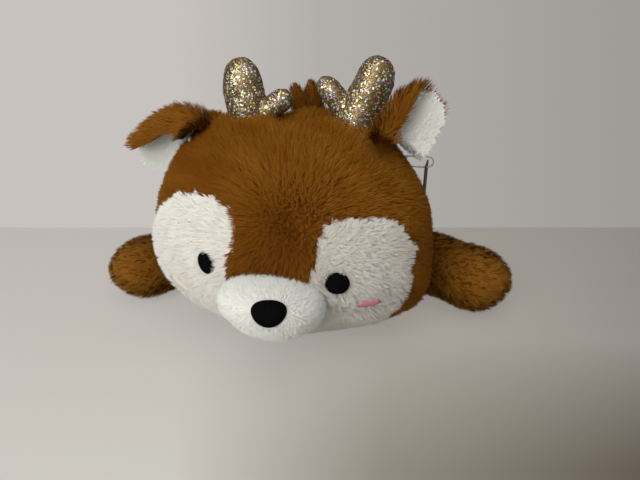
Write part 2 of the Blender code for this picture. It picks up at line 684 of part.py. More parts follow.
def make_tag(head, host):
    """The card hangs by its hole from the outer end of a loop whose inner end is sewn in the skin."""
    hinge = empty("tag_hinge", head, (TAG_OUT, TAG_BACK, TAG_RISE), (0, -HEAD_ROLL, TAG_TURN))
    look = ("dark_card", CARD, 0.7)
    drop = TAG_HOLE_RADIUS - LOOP_WIRE - SEAM_GAP
    top = TAG_HOLE_INSET - drop
    card = box("tag_card", hinge, (-TAG_THICKNESS / 2, -TAG_WIDTH / 2, top - TAG_LENGTH),
               (TAG_THICKNESS / 2, TAG_WIDTH / 2, top), look)
    half = TAG_THICKNESS / 2 + OVERRUN
    hole = turned([(-half, 0), (-half, TAG_HOLE_RADIUS), (half, TAG_HOLE_RADIUS), (half, 0)], HOLE_SIDES)
    bmesh.ops.translate(hole, verts=hole.verts, vec=(0, 0, -drop))
    boolean(card, finish_mesh("tag_hole_cutter", hole, hinge))

    stalk = empty("tag_loop_centre", head, (TAG_OUT, TAG_BACK, TAG_RISE), (0, -HEAD_ROLL, 0))
    surface = head_side(TAG_BACK, TAG_RISE) - TAG_OUT
    radius = LOOP_HEIGHT / 2
    near = surface - LOOP_SEAT + radius
    far = LOOP_REACH - radius
    points = []
    for centre, start in ((far, -pi / 2), (near, pi / 2)):
        for step in range(LOOP_POINTS + 1):
            angle = start + pi * step / LOOP_POINTS
            points.append((centre + radius * cos(angle), 0, radius + radius * sin(angle)))
    curve = bpy.data.curves.new("tag_loop", "CURVE")
    curve.dimensions = "3D"
    curve.bevel_depth = LOOP_WIRE
    curve.bevel_resolution = 1
    spline = curve.splines.new("POLY")
    spline.points.add(len(points) - 1)
    for point, place in zip(spline.points, points):
        point.co = (*place, 1)
    spline.use_cyclic_u = True
    curve.materials.append(material("clear_plastic", CLEAR, 0.2))
    loop = bpy.data.objects.new("tag_loop", curve)
    bpy.context.collection.objects.link(loop)
    loop.parent = stalk
    room = LOOP_WIRE + SEAM_GAP
    slot = box("tag_slot_cutter", stalk, (surface - LOOP_SEAT - room, -room, -room),
               (surface + OVERRUN, room, LOOP_HEIGHT + room))
    boolean(host, slot)


def centre_toy(frame):
    """Move the toy sideways so that its box is centred over the origin."""
    bpy.context.view_layer.update()
    depsgraph = bpy.context.evaluated_depsgraph_get()
    places = []
    for thing in bpy.data.objects:
        if thing.type != "EMPTY" and not thing.hide_render:
            verts = thing.evaluated_get(depsgraph).to_mesh().vertices
            places += [thing.matrix_world @ vert.co for vert in verts]
    for axis in range(2):
        values = [place[axis] for place in places]
        frame.location[axis] -= (min(values) + max(values)) / 2


def main():
    for thing in list(bpy.data.objects):
        bpy.data.objects.remove(thing, do_unlink=True)
    toy = empty("toy_frame")
    reach = HEAD_WIDTH + BODY_LENGTH
    ground = box("ground_cutter", toy, (-reach, -reach, -reach), (reach, reach, 0))
    head = empty("head_frame", toy, (HEAD_SIDE_SHIFT, 0, HEAD_HEIGHT / 2 - REST_FLAT), (0, HEAD_ROLL, HEAD_TURN))
    grooves = [make_ear(head, word) for word in SIDES]
    rear = make_head(head, ground, grooves)
    head_space = finish_mesh("head_space_cutter", head_ball(SEAM_GAP), head)
    sockets = {1: [], -1: []}
    for word, side in SIDES.items():
        make_antler(head, word, head_space)
        for leg, place in ((FRONT_LEG, "front_leg_"), (HIND_LEG, "hind_leg_")):
            sockets[side].append(make_leg(toy, leg, side, place + word, ground))
    make_tag(head, rear)
    make_body(toy, head_space, ground, sockets, make_tail(toy))
    centre_toy(toy)


main()
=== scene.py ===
import json
import math

import bmesh
import bpy
import numpy as np
from mathutils import Euler, Matrix, Vector
from mathutils.kdtree import KDTree


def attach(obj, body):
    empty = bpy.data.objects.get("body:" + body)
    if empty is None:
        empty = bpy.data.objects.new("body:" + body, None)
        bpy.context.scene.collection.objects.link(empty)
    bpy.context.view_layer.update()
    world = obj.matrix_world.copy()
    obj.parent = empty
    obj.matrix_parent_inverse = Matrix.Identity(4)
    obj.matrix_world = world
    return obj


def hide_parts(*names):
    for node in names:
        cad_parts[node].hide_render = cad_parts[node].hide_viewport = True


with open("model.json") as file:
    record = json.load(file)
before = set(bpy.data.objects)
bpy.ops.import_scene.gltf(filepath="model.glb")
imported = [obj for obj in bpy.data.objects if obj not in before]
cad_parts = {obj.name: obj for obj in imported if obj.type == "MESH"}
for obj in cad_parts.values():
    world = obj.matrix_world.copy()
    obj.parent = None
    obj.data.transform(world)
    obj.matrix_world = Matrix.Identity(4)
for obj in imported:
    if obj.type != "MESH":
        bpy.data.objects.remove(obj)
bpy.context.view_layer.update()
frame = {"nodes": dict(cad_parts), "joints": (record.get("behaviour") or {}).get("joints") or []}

joints = {joint["name"]: joint for joint in frame["joints"]}
legBack = 0.080
toyShift = Vector((0, joints["front_leg_left_swing"]["pos_m"][1] - legBack, 0))
restGap = 0.0005
farOff = 1e6
sides = {"left": 1, "right": -1}

# The photograph's view: a telephone held low in front of the toy
view = {"lens": 27.73, "sensor": 36.0, "width": 640, "height": 480, "above": 0.253, "back": 0.399,
        "aside": 0.0155, "turn": math.radians(4.5), "down": math.radians(24.1)}
viewTurn = Matrix.Rotation(view["turn"], 4, "Z")
viewPlace = toyShift + viewTurn @ Vector((view["aside"], -view["back"], view["above"]))


def photoPixel(points):
    # pixels of the photograph that these points fall on
    focal = view["lens"] / view["sensor"] * view["width"]
    turn = np.array(viewTurn.to_3x3())
    seen = (np.asarray(points) - np.array(viewPlace)) @ turn
    ahead = seen[:, 1] * math.cos(view["down"]) - seen[:, 2] * math.sin(view["down"])
    up = seen[:, 1] * math.sin(view["down"]) + seen[:, 2] * math.cos(view["down"])
    return np.stack([view["width"] / 2 + focal * seen[:, 0] / ahead,
                     view["height"] / 2 - focal * up / ahead], axis=1)


def noiseOf(points, size, seed):
    # smooth values near -1 to 1, one for each point, that wander over a length of size
    rng = np.random.default_rng(seed)
    total = np.zeros(len(points))
    for turn in range(5):
        way = rng.normal(size=3)
        way /= np.linalg.norm(way)
        total += np.sin(np.asarray(points) @ way * (5.0 + turn) / size + rng.uniform(0, 6.28))
    return total / 2.6


def unit(rows):
    return rows / np.maximum(np.linalg.norm(rows, axis=1, keepdims=True), 1e-9)


def insideOutline(pixels, outline):
    # which pixels lie inside a closed outline
    inside = np.zeros(len(pixels), bool)
    for (ax, ay), (bx, by) in zip(outline, outline[1:] + outline[:1]):
        if ay != by:
            crosses = (pixels[:, 1] > ay) != (pixels[:, 1] > by)
            inside ^= crosses & (pixels[:, 0] < ax + (pixels[:, 1] - ay) * (bx - ax) / (by - ay))
    return inside


def outlineGap(pixels, outline):
    # how many pixels lie between these places and the nearest edge of an outline
    least = np.full(len(pixels), farOff)
    for a, b in zip(outline, outline[1:] + outline[:1]):
        a, along = np.array(a, float), np.array(b, float) - np.array(a, float)
        share = np.clip((pixels - a) @ along / (along @ along), 0, 1)
        least = np.minimum(least, np.linalg.norm(pixels - a - share[:, None] * along, axis=1))
    return least


# Materials

def newMaterial(name, colour, roughness):
    made = bpy.data.materials.new(name)
    made.use_nodes = True
    shader = made.node_tree.nodes["Principled BSDF"]
    shader.inputs["Base Color"].default_value = (*colour, 1)
    shader.inputs["Roughness"].default_value = roughness
    made.diffuse_color = (*colour, 1)
    return made, made.node_tree.nodes, made.node_tree.links, shader


def newNode(nodes, kind, values=None, **settings):
    # a shader node with its settings and the values of its inputs
    made = nodes.new("ShaderNode" + kind)
    for setting, value in settings.items():
        setattr(made, setting, value)
    for socket, value in (values or {}).items():
        made.inputs[socket].default_value = value
    return made


def newRamp(nodes, stops, interpolation="LINEAR"):
    # a colour ramp from its stops, each a position and a colour
    made = newNode(nodes, "ValToRGB")
    ramp = made.color_ramp
    ramp.interpolation = interpolation
    for element, (at, colour) in zip(ramp.elements, (stops[0], stops[-1])):
        element.position, element.color = at, (*colour, 1)
    for at, colour in stops[1:-1]:
        ramp.elements.new(at).color = (*colour, 1)
    return made


def joinNodes(links, *pairs):
    # each pair is a node and its output, then a node and its input
    for source, output, target, socket in pairs:
        links.new(source.outputs[output], target.inputs[socket])


def furMaterial(name, look):
    # colour from each strand's own tone, with painted shade that darkens it towards its root
    made, nodes, links, shader = newMaterial(name, look["middle"], 0.72)
    shader.inputs["Sheen Weight"].default_value = look["sheen"]
    shader.inputs["Sheen Roughness"].default_value = 0.45
    shader.inputs["Sheen Tint"].default_value = (*look["light"], 1)
    shader.inputs["Specular IOR Level"].default_value = look["gloss"]
    place = newNode(nodes, "UVMap", uv_map="OFBake")
    split = newNode(nodes, "SeparateXYZ")
    tone = newRamp(nodes, [(0, look["dark"]), (0.5, look["middle"]), (1, look["light"])])
    rise = newNode(nodes, "MapRange", {"From Max": look["shadeTo"]}, interpolation_type="SMOOTHSTEP")
    shade = newNode(nodes, "Mix", data_type="RGBA")
    shade.inputs["A"].default_value = (*look["root"], 1)
    joinNodes(links, (place, "UV", split, "Vector"), (split, "X", tone, "Fac"), (split, "Y", rise, "Value"),
              (rise, "Result", shade, "Factor"), (tone, "Color", shade, "B"),
              (shade, "Result", shader, "Base Color"))
    return made


def backingMaterial(name, look):
    # the knitted cloth that the pile stands on
    made, nodes, links, shader = newMaterial(name, look["root"], 0.95)
    shader.inputs["Specular IOR Level"].default_value = 0.05
    knit = newNode(nodes, "TexVoronoi", {"Scale": 900})
    place = newNode(nodes, "TexCoord")
    tone = newRamp(nodes, [(0, look["root"]), (1, look["dark"])])
    bump = newNode(nodes, "Bump", {"Strength": 0.5, "Distance": 0.0005})
    joinNodes(links, (place, "Object", knit, "Vector"), (knit, "Distance", tone, "Fac"),
              (tone, "Color", shader, "Base Color"), (knit, "Distance", bump, "Height"),
              (bump, "Normal", shader, "Normal"))
    return made


# each look's root colour is painted shade deep in the pile, and shadeTo is how far along the strand it
# reaches
furLooks = {
    "brown": {"root": (0.098, 0.030, 0.0015), "dark": (0.118, 0.037, 0.0018),
              "middle": (0.166, 0.060, 0.0040), "light": (0.222, 0.092, 0.012), "sheen": 0.0, "gloss": 0.05,
              "shadeTo": 0.5},
    "white": {"root": (0.62, 0.60, 0.55), "dark": (0.635, 0.61, 0.54), "middle": (0.66, 0.65, 0.60),
              "light": (0.69, 0.69, 0.66), "sheen": 0.02, "gloss": 0.08, "shadeTo": 0.4},
    # a darker copy of the white pile: painted shade for the deer's left cheek, which faces away from the
    # window
    "shadedWhite": {"root": (0.53, 0.505, 0.45), "dark": (0.54, 0.505, 0.435), "middle": (0.57, 0.555, 0.51),
              "light": (0.62, 0.615, 0.58), "sheen": 0.02, "gloss": 0.08, "shadeTo": 0.4},
    "snow": {"root": (0.65, 0.66, 0.62), "dark": (0.66, 0.665, 0.62), "middle": (0.68, 0.69, 0.65),
             "light": (0.70, 0.71, 0.68), "sheen": 0.02, "gloss": 0.08, "shadeTo": 0.4},
}
furs = {key: furMaterial(key + "Pile", look) for key, look in furLooks.items()}
backings = {key: backingMaterial(key + "Backing", look) for key, look in furLooks.items()}


# Forms

def powerBall(radii, power, steps):
    # a cube's grid blown up to a ball whose sections lie between an ellipse and a box
    bm = bmesh.new()
    bmesh.ops.create_cube(bm, size=2)
    bmesh.ops.subdivide_edges(bm, edges=bm.edges, cuts=steps - 1, use_grid_fill=True)
    for vert in bm.verts:
        way = Vector([math.tan(value * math.pi / 4) for value in vert.co])
        reach = sum(abs(way[axis] / radii[axis]) ** power for axis in range(3)) ** (-1 / power)
        vert.co = way * reach
    return bm


def vertRows(bm):
    # the places and normals of a bmesh, as rows
    bm.normal_update()
    return np.array([vert.co for vert in bm.verts]), np.array([vert.normal for vert in bm.verts])


def moveVerts(bm, places):
    for vert, place in zip(bm.verts, places):
        vert.co = place


def facesView(places, normals):
    return np.einsum("ij,ij->i", normals, np.array(viewPlace) - places) > 0


def rideObject(name, mesh, body):
    made = bpy.data.objects.new(name, mesh)
    bpy.context.scene.collection.objects.link(made)
    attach(made, body)
    return made


def placed(name, bm, matrix, materials, body, keep=None):
    # an object in the frame from a bmesh; keep tells which faces stay
    bm.transform(matrix)
    bmesh.ops.recalc_face_normals(bm, faces=bm.faces)
    if keep is not None:
        drop = [face for face, stays in zip(bm.faces, keep(bm)) if not stays]
        bmesh.ops.delete(bm, geom=drop, context="FACES")
    mesh = bpy.data.meshes.new(name)
    bm.to_mesh(mesh)
    bm.free()
    mesh.shade_smooth()
    for material in materials:
        mesh.materials.append(material)
    return rideObject(name, mesh, body)


def coords(mesh, field="co"):
    values = np.empty(len(mesh.vertices) * 3, np.float32)
    source = mesh.vertices if field == "co" else mesh.vertex_normals
    source.foreach_get("co" if field == "co" else "vector", values)
    return values.reshape(-1, 3).astype(float)


def scatter(mesh, spacing, rng):
    # points spread evenly over a mesh, with smooth normals
    mesh.calc_loop_triangles()
    corners = np.empty(len(mesh.loop_triangles) * 3, np.int32)
    mesh.loop_triangles.foreach_get("vertices", corners)
    corners = corners.reshape(-1, 3)
    places, normals = coords(mesh), coords(mesh, "normal")
    a, b, c = (places[corners[:, i]] for i in range(3))
    areas = np.linalg.norm(np.cross(b - a, c - a), axis=1) / 2
    count = int(areas.sum() / spacing ** 2)
    chosen = rng.choice(len(areas), count, p=areas / areas.sum())
    share = rng.random((count, 2))
    flip = share.sum(1) > 1
    share[flip] = 1 - share[flip]
    weights = np.stack([1 - share.sum(1), share[:, 0], share[:, 1]], axis=1)
    points = np.einsum("ij,ijk->ik", weights, places[corners[chosen]])
    return points, unit(np.einsum("ij,ijk->ik", weights, normals[corners[chosen]]))


# stations run from root to tip and widths follow them; strays and roll are spreads in radians, and the
# rises are the shares of a strand's lean that go where the pile stands upright
strand = {"softness": 0.7, "shortest": 0.78, "longest": 1.12, "least": 0.15, "startRise": 0.8, "endRise": 0.7,
          "startStray": 0.08, "endStray": 0.10, "leastBend": 0.05, "roll": 0.35,
          "stations": (0.0, 0.42, 0.78, 1.0), "widths": (0.85, 1.0, 0.62, 0.0),
          "lockTone": 0.07, "ownTone": 0.09, "wander": 0.10, "wanderSize": 0.11}


def growFur(name, skin, fur, flow, body, look, seed, keep=None):
    # strands rooted all over a skin: each a narrow blade that bends over along the flow
    rng = np.random.default_rng(seed)
    points, normals = scatter(skin.data, fur["spacing"], rng)
    if "density" in fur:
        chosen = rng.random(len(points)) < fur["density"](points)
        points, normals = points[chosen], normals[chosen]
    length = fur["length"] * rng.uniform(strand["shortest"], strand["longest"], len(points))
    if keep is not None:
        share = keep(points, normals)
        chosen = share > strand["least"]
        points, normals, length = points[chosen], normals[chosen], (length * share)[chosen]
    count = len(points)
    # locks: the strands near one point lean alike and meet at their tips
    lockCount = max(1, int(count * (fur["spacing"] / fur["lock"]) ** 2))
    locks = points[rng.choice(count, lockCount, replace=False)]
    tree = KDTree(lockCount)
    for index, place in enumerate(locks):
        tree.insert(place, index)
    tree.balance()
    lockOf = np.array([tree.find(place)[1] for place in points])
    lockTurn = rng.normal(0, fur["stray"], lockCount)
    lockLift = rng.normal(0, fur["lift"], lockCount)
    lockTone = rng.normal(0, 1, lockCount)

    way = flow(points, normals)
    way = unit(way - normals * np.sum(way * normals, axis=1, keepdims=True))
    turn = (lockTurn[lockOf] + rng.normal(0, fur["stray"] / 2, count))[:, None]
    way = way * np.cos(turn) + np.cross(normals, way) * np.sin(turn)
    upright = fur["upright"](points) if "upright" in fur else 0
    start = (fur["stand"] + lockLift[lockOf]) * (1 - strand["startRise"] * upright)
    start += rng.normal(0, strand["startStray"], count)
    end = (fur["lay"] + lockLift[lockOf]) * (1 - strand["endRise"] * upright)
    end += rng.normal(0, strand["endStray"], count)
    bend = np.where(np.abs(end - start) < strand["leastBend"], strand["leastBend"], end - start)
    side = np.cross(normals, way)
    toLock = (locks[lockOf] - points) * fur["meet"]
    roll = rng.normal(0, strand["roll"], count)
    verts = np.empty((count, 7, 3), np.float32)
    shades = np.empty((count, 7, 3), np.float32)
    for step, (at, wide) in enumerate(zip(strand["stations"], strand["widths"])):
        angle = start + bend * at
        outward = (np.sin(angle) - np.sin(start)) / bend
        along = (np.cos(start) - np.cos(angle)) / bend
        centre = points + (normals * outward[:, None] + way * along[:, None]) * length[:, None]
        centre += toLock * at * at
        facing = normals * np.sin(angle)[:, None] - way * np.cos(angle)[:, None]
        across = side * np.cos(roll)[:, None] + facing * np.sin(roll)[:, None]
        half = across * (fur["width"] * wide / 2)
        outwards = facing * np.cos(roll)[:, None] - side * np.sin(roll)[:, None]
        shade = unit(normals * strand["softness"] + outwards * (1 - strand["softness"]))
        if step < 3:
            verts[:, step * 2] = centre - half
            verts[:, step * 2 + 1] = centre + half
            shades[:, step * 2] = shades[:, step * 2 + 1] = shade
        else:
            verts[:, 6] = centre
            shades[:, 6] = shade
    verts[:, :, 2] = np.maximum(verts[:, :, 2], fur.get("floor", restGap))
    tone = 0.5 + strand["lockTone"] * lockTone[lockOf] + rng.normal(0, strand["ownTone"], count)
    tone += strand["wander"] * noiseOf(points, strand["wanderSize"], seed + 1)
    if "tone" in fur:
        tone = tone + fur["tone"](points, normals)
    return strandMesh(name, verts, shades, np.clip(tone, 0.01, 0.99), furs[look], body)


def strandMesh(name, verts, shades, tone, material, body):
    # blades that face outwards, shaded with normals of their own
    count = len(verts)
    index = np.arange(count, dtype=np.int32)[:, None]
    pattern = np.array([1, 0, 2, 3, 3, 2, 4, 5, 5, 4, 6], np.int32)
    starts = np.array([0, 4, 8], np.int32)
    mesh = bpy.data.meshes.new(name)
    mesh.vertices.add(count * 7)
    mesh.vertices.foreach_set("co", verts.ravel())
    mesh.loops.add(count * 11)
    mesh.loops.foreach_set("vertex_index", (index * 7 + pattern).ravel())
    mesh.polygons.add(count * 3)
    mesh.polygons.foreach_set("loop_start", (index * 11 + starts).ravel())
    mesh.polygons.foreach_set("use_smooth", np.ones(count * 3, bool))
    mesh.update(calc_edges=True)
    along = np.repeat(np.array(strand["stations"]), 2)[:7]
    layer = mesh.uv_layers.new(name="OFBake")
    values = np.empty((count, 11, 2), np.float32)
    values[:, :, 0] = tone[:, None]
    values[:, :, 1] = along[pattern]
    layer.data.foreach_set("uv", values.ravel())
    mesh.normals_split_custom_set_from_vertices(shades.reshape(-1, 3).tolist())
    mesh.materials.append(material)
    made = rideObject(name, mesh, body)
    return made


def awayFrom(place, lift=(0, 0, 0)):
    # strands comb outwards from one place
    centre = np.array(place)
    return lambda points, normals: unit(points - centre) + np.array(lift)


def nearestOn(mesh, pixel):
    # the place and normal of a mesh under one pixel of the photograph
    places, normals = coords(mesh), coords(mesh, "normal")
    gap = np.linalg.norm(photoPixel(places) - np.array(pixel), axis=1)
    gap += np.where(facesView(places, normals), 0, farOff)
    best = int(np.argmin(gap))
    return Vector(places[best]), Vector(normals[best])


identity = Matrix.Identity(4)

# Head

head = {"width": 0.2360, "depth": 0.1840, "height": 0.1830, "power": 2.3, "lean": 0.14, "steps": 44,
        "shift": -0.0045, "turn": math.radians(-3.5), "roll": math.radians(4.5), "inset": 0.0062,
        "whorl": (290, 216), "whorlSize": 0.026}
headPlace = Matrix.Translation(toyShift + Vector((head["shift"], 0, head["height"] / 2 - restGap)))
headPlace = headPlace @ Euler((0, head["roll"], head["turn"])).to_matrix().to_4x4()
headInverse = np.array(headPlace.inverted())
headHalf = np.array([head["width"], head["depth"], head["height"]]) / 2

cheeks = {
    "right": {"outline": [(189, 191), (174, 193), (159, 201), (148, 219), (142, 240), (144, 268), (160, 292),
                          (180, 316), (214, 338), (240, 330), (224, 300), (224, 273), (226, 258), (232, 241),
                          (234, 226), (227, 209), (212, 197)],
              "puff": (188, 240)},
    "left": {"outline": [(322, 226), (337, 220), (359, 218), (385, 218), (399, 220), (409, 233), (421, 248),
                         (415, 270), (414, 292), (400, 313), (380, 330), (354, 342), (322, 350), (290, 348),
                         (306, 283), (314, 262), (315, 243)],
             "puff": (368, 262)},
}
muzzle = {"width": 0.0810, "depth": 0.0620, "height": 0.0430, "forward": 0.0950, "drop": 0.0250,
          "inset": 0.0035, "steps": 20, "power": 2.3,
          "swells": [((222, 324), 0.016, -0.0035), ((312, 326), 0.014, -0.0015)]}
# how far a cheek reaches past the head's rim, how its edge wanders, and how the pile is trimmed at it
seam = {"turned": -0.30, "ripple": 0.012, "wander": 1.2, "width": 4.5, "brownTrim": 0.45, "whiteTrim": 0.30,
        "overBlush": 0.60}
stuffing = {"rise": 0.0012, "size": 0.10, "fineRise": 0.0006, "fineSize": 0.045, "puff": 0.0030,
            "puffSize": (52, 50)}
# how far inside a neighbour's surface pile and skin are left out
tuck = {"pile": -0.004, "leg": -0.006, "skin": -0.012}


def inHead(points):
    # points in the head's own directions, from its centre
    return np.asarray(points) @ headInverse[:3, :3].T + headInverse[:3, 3]


def headDepthOf(points, growth=0.0):
    # less than 1 inside the head's outer surface, more outside
    local = inHead(points)
    local[:, 1] -= head["lean"] * local[:, 2]
    return np.sum(np.abs(local / (headHalf + growth)) ** head["power"], axis=1)


def muzzleDepthOf(points, growth=0.0):
    local = inHead(points) - np.array([0, -muzzle["forward"], -muzzle["drop"]])
    half = np.array([muzzle["width"], muzzle["depth"], muzzle["height"]]) / 2 + growth
    return np.sum(np.abs(local / half) ** muzzle["power"], axis=1)


def cheekOf(points, normals):
    # 0 off the cheeks, 1 on the deer's left one and -1 on its right one
    points, normals = np.asarray(points), np.asarray(normals)
    toView = unit(np.array(viewPlace) - points)
    facing = np.einsum("ij,ij->i", normals, toView) > seam["turned"]
    pixels = photoPixel(points + normals * head["inset"])
    pixels += np.stack([noiseOf(points, seam["ripple"], seed) for seed in (5, 6)], axis=1) * seam["wander"]
    which = np.zeros(len(points))
    for word, side in sides.items():
        inside = insideOutline(pixels, cheeks[word]["outline"]) & facing
        which[inside] = side
    return which


def swollen(bm, matrix, swells):
    # a form in its place, pushed out or drawn in around places seen in the photograph
    bm.transform(matrix)
    bmesh.ops.recalc_face_normals(bm, faces=bm.faces)
    places, normals = vertRows(bm)
    pixels = photoPixel(places)
    facing = facesView(places, normals)
    push = np.zeros(len(places))
    for pixel, size, rise in swells:
        near = np.where(facing, np.linalg.norm(pixels - np.array(pixel), axis=1), farOff)
        gap = np.linalg.norm(places - places[int(np.argmin(near))], axis=1) / size
        push += rise * np.exp(-gap ** 2)
    moveVerts(bm, places + normals * push[:, None])


def headForm():
    # the head under its pile, with the cheeks puffed out and the brow's soft hollows
    bm = powerBall(headHalf - head["inset"], head["power"], head["steps"])
    for vert in bm.verts:
        vert.co.y += head["lean"] * vert.co.z
    swollen(bm, headPlace, headSwells)
    places, normals = vertRows(bm)
    pixels = photoPixel(places)
    facing = facesView(places, normals)
    push = stuffing["rise"] * noiseOf(places, stuffing["size"], 11)
    push += stuffing["fineRise"] * noiseOf(places, stuffing["fineSize"], 12)
    for cheek in cheeks.values():
        gap = np.linalg.norm((pixels - np.array(cheek["puff"])) / np.array(stuffing["puffSize"]), axis=1)
        push += np.where(facing, stuffing["puff"] * np.exp(-gap ** 4), 0)
    for pixel, size, depth in headDents:
        gap = np.linalg.norm((pixels - np.array(pixel)) / np.array(size), axis=1)
        push += np.where(facing, depth * np.exp(-gap ** 2), 0)
    places += normals * push[:, None]
    places[:, 2] = np.maximum(places[:, 2], restGap)
    moveVerts(bm, places)
    return bm


# place in pixels, size in pixels, rise in metres
headDents = [((289, 121), (14, 7), -0.0030), ((308, 112), (16, 8), 0.0022), ((306, 190), (60, 22), -0.0012),
             ((352, 308), (16, 5), -0.0035), ((372, 312), (22, 6), 0.0018), ((300, 250), (12, 26), -0.0015)]
# place in pixels, radius and rise in metres: where the outline swells or draws in
headSwells = [((410, 294), 0.028, 0.0075), ((334, 334), 0.030, -0.0085), ((222, 322), 0.020, -0.0060),
              ((157, 234), 0.030, 0.0035), ((434, 205), 0.030, -0.0025), ((186, 148), 0.022, 0.0050),
              ((217, 125), 0.022, 0.0080), ((311, 112), 0.020, 0.0035), ((350, 125), 0.018, 0.0120),
              ((372, 137), 0.014, 0.0085), ((418, 170), 0.022, -0.0045)]


def faceCentres(bm):
    return (np.array([face.calc_center_median() for face in bm.faces]),
            np.array([face.normal for face in bm.faces]))


def onlyBrown(bm):
    return cheekOf(*faceCentres(bm)) == 0


def onlyCheek(side):
    return lambda bm: cheekOf(*faceCentres(bm)) == side


headBall = headForm()
headSkin = placed("headSkin", headBall.copy(), identity, [backings["brown"]], "toy", onlyBrown)
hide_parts("head_crown_panel", "head_back_panel", "head_chin_panel", "head_stuffing")
whorl = nearestOn(headSkin.data, head["whorl"])[0]
cheekSkins = {}
for word, side in sides.items():
    # the deer's left cheek takes the darker copy of the white pile: painted shade
    look = "shadedWhite" if side > 0 else "white"
    cheekSkins[word] = placed("cheekSkin" + word.capitalize(), headBall.copy(), identity, [backings[look]],
                              "toy", onlyCheek(side))
    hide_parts("cheek_panel_" + word)
headBall.free()
print("head skins", len(headSkin.data.vertices))

# Muzzle
ball = powerBall(np.array([muzzle["width"], muzzle["depth"], muzzle["height"]]) / 2 - muzzle["inset"],
                 muzzle["power"], muzzle["steps"])
muzzlePlace = headPlace @ Matrix.Translation((0, -muzzle["forward"], -muzzle["drop"]))
swollen(ball, muzzlePlace, muzzle["swells"])
muzzleSkin = placed("muzzleSkin", ball, identity, [backings["snow"]], "toy")
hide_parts("muzzle_panel", "muzzle_stuffing")

# Eyes, nose and blush: velvet pads sewn on, each with its place in the photograph
pads = {
    "eyeLeft": {"node": "eye_left", "on": "left", "at": (338.7, 282.8), "size": (0.0180, 0.0168),
                "rise": 0.0036, "lift": 0.0024, "power": 2.1, "tilt": 0.0},
    "eyeRight": {"node": "eye_right", "on": "right", "at": (209.2, 261.9), "size": (0.0152, 0.0176),
                 "rise": 0.0036, "lift": 0.0026, "power": 2.1, "tilt": 0.42},
    "noseVelvet": {"node": "nose_pad", "on": "muzzle", "at": (267.5, 314.4), "size": (0.0238, 0.0184),
                   "rise": 0.0058, "lift": 0.0008, "power": 2.15, "tilt": 0.03, "taper": 0.20},
    "blushLeft": {"node": "blush_left", "on": "left", "at": (367.5, 300.5), "size": (0.0210, 0.0062),
                  "rise": 0.0014, "lift": 0.0036, "power": 2.0, "tilt": -0.06},
    "blushRight": {"node": "blush_right", "on": "right", "at": (183, 283), "size": (0.0230, 0.0110),
                   "rise": 0.0012, "lift": 0.0016, "power": 2.0, "tilt": -0.5},
}
# strands stop inside a pad's rim, and stand up round it
rim = {"inside": 0.92, "reach": 0.35, "near": 0.02}


def velvetMaterial(name, colour, sheen, grain, gloss):
    made, nodes, links, shader = newMaterial(name, colour, 0.85)
    shader.inputs["Sheen Weight"].default_value = sheen
    shader.inputs["Sheen Roughness"].default_value = 0.4
    shader.inputs["Specular IOR Level"].default_value = gloss
    place = newNode(nodes, "TexCoord")
    nap = newNode(nodes, "TexNoise", {"Scale": 1400, "Detail": 3})
    tone = newRamp(nodes, [(0.35, [value * (1 - grain) for value in colour]),
                           (0.7, [min(1, value * (1 + grain)) for value in colour])])
    bump = newNode(nodes, "Bump", {"Strength": 0.6, "Distance": 0.0003})
    joinNodes(links, (place, "Object", nap, "Vector"), (nap, "Fac", tone, "Fac"),
              (tone, "Color", shader, "Base Color"), (nap, "Fac", bump, "Height"),
              (bump, "Normal", shader, "Normal"))
    return made


blackVelvet = velvetMaterial("blackVelvet", (0.0020, 0.0021, 0.0025), 0.0, 0.5, 0.02)
pinkVelvet = velvetMaterial("pinkVelvet", (0.43, 0.155, 0.20), 0.05, 0.15, 0.05)
palePink = velvetMaterial("palePinkVelvet", (0.66, 0.575, 0.52), 0.1, 0.10, 0.12)
padCloth = {"blushLeft": pinkVelvet, "blushRight": palePink}
padPlaces = {}
for name, pad in pads.items():
    ground = muzzleSkin if pad["on"] == "muzzle" else cheekSkins[pad["on"]]
    place, outward = nearestOn(ground.data, pad["at"])
    sideways = Vector((0, 0, 1)).cross(-outward).normalized()
    upward = (-outward).cross(sideways)
    turn = Matrix((sideways, -outward, upward)).transposed().to_4x4() @ Matrix.Rotation(pad["tilt"], 4, "Y")
    ball = powerBall((pad["size"][0] / 2, pad["rise"], pad["size"][1] / 2), pad["power"], 10)
    for vert in ball.verts:
        vert.co.x *= 1 + pad.get("taper", 0) * vert.co.z / (pad["size"][1] / 2)
    matrix = Matrix.Translation(place + outward * pad["lift"]) @ turn
    made = placed(name, ball, matrix, [padCloth.get(name, blackVelvet)], "toy")
    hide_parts(pad["node"])
    padPlaces[name] = (matrix.inverted(), np.array([pad["size"][0] / 2, pad["size"][1] / 2]))
print("pads", len(pads))


def padGap(points, names):
    # how far points lie outside the pads' rims, as a share of each pad's size; 1 on the rim
    least = np.full(len(points), 9.0)
    for name in names:
        inverse, half = padPlaces[name]
        local = np.asarray(points) @ np.array(inverse)[:3, :3].T + np.array(inverse)[:3, 3]
        near = np.hypot(local[:, 0] / half[0], local[:, 2] / half[1])
        least = np.where(np.abs(local[:, 1]) < rim["near"], np.minimum(least, near), least)
    return least


def atSeam(points, normals):
    # 1 at the cheeks' seams, where the pile is trimmed, fading to 0 beside them
    pixels = photoPixel(points + normals * head["inset"])
    gap = np.minimum(*[outlineGap(pixels, cheek["outline"]) for cheek in cheeks.values()])
    return np.exp(-(gap / seam["width"]) ** 2)


def keepHead(points, normals):
    # no strands under the muzzle, and trimmed ones along the cheeks
    hidden = muzzleDepthOf(points, tuck["pile"]) < 1
    return np.where(hidden, 0, 1 - seam["brownTrim"] * atSeam(points, normals))


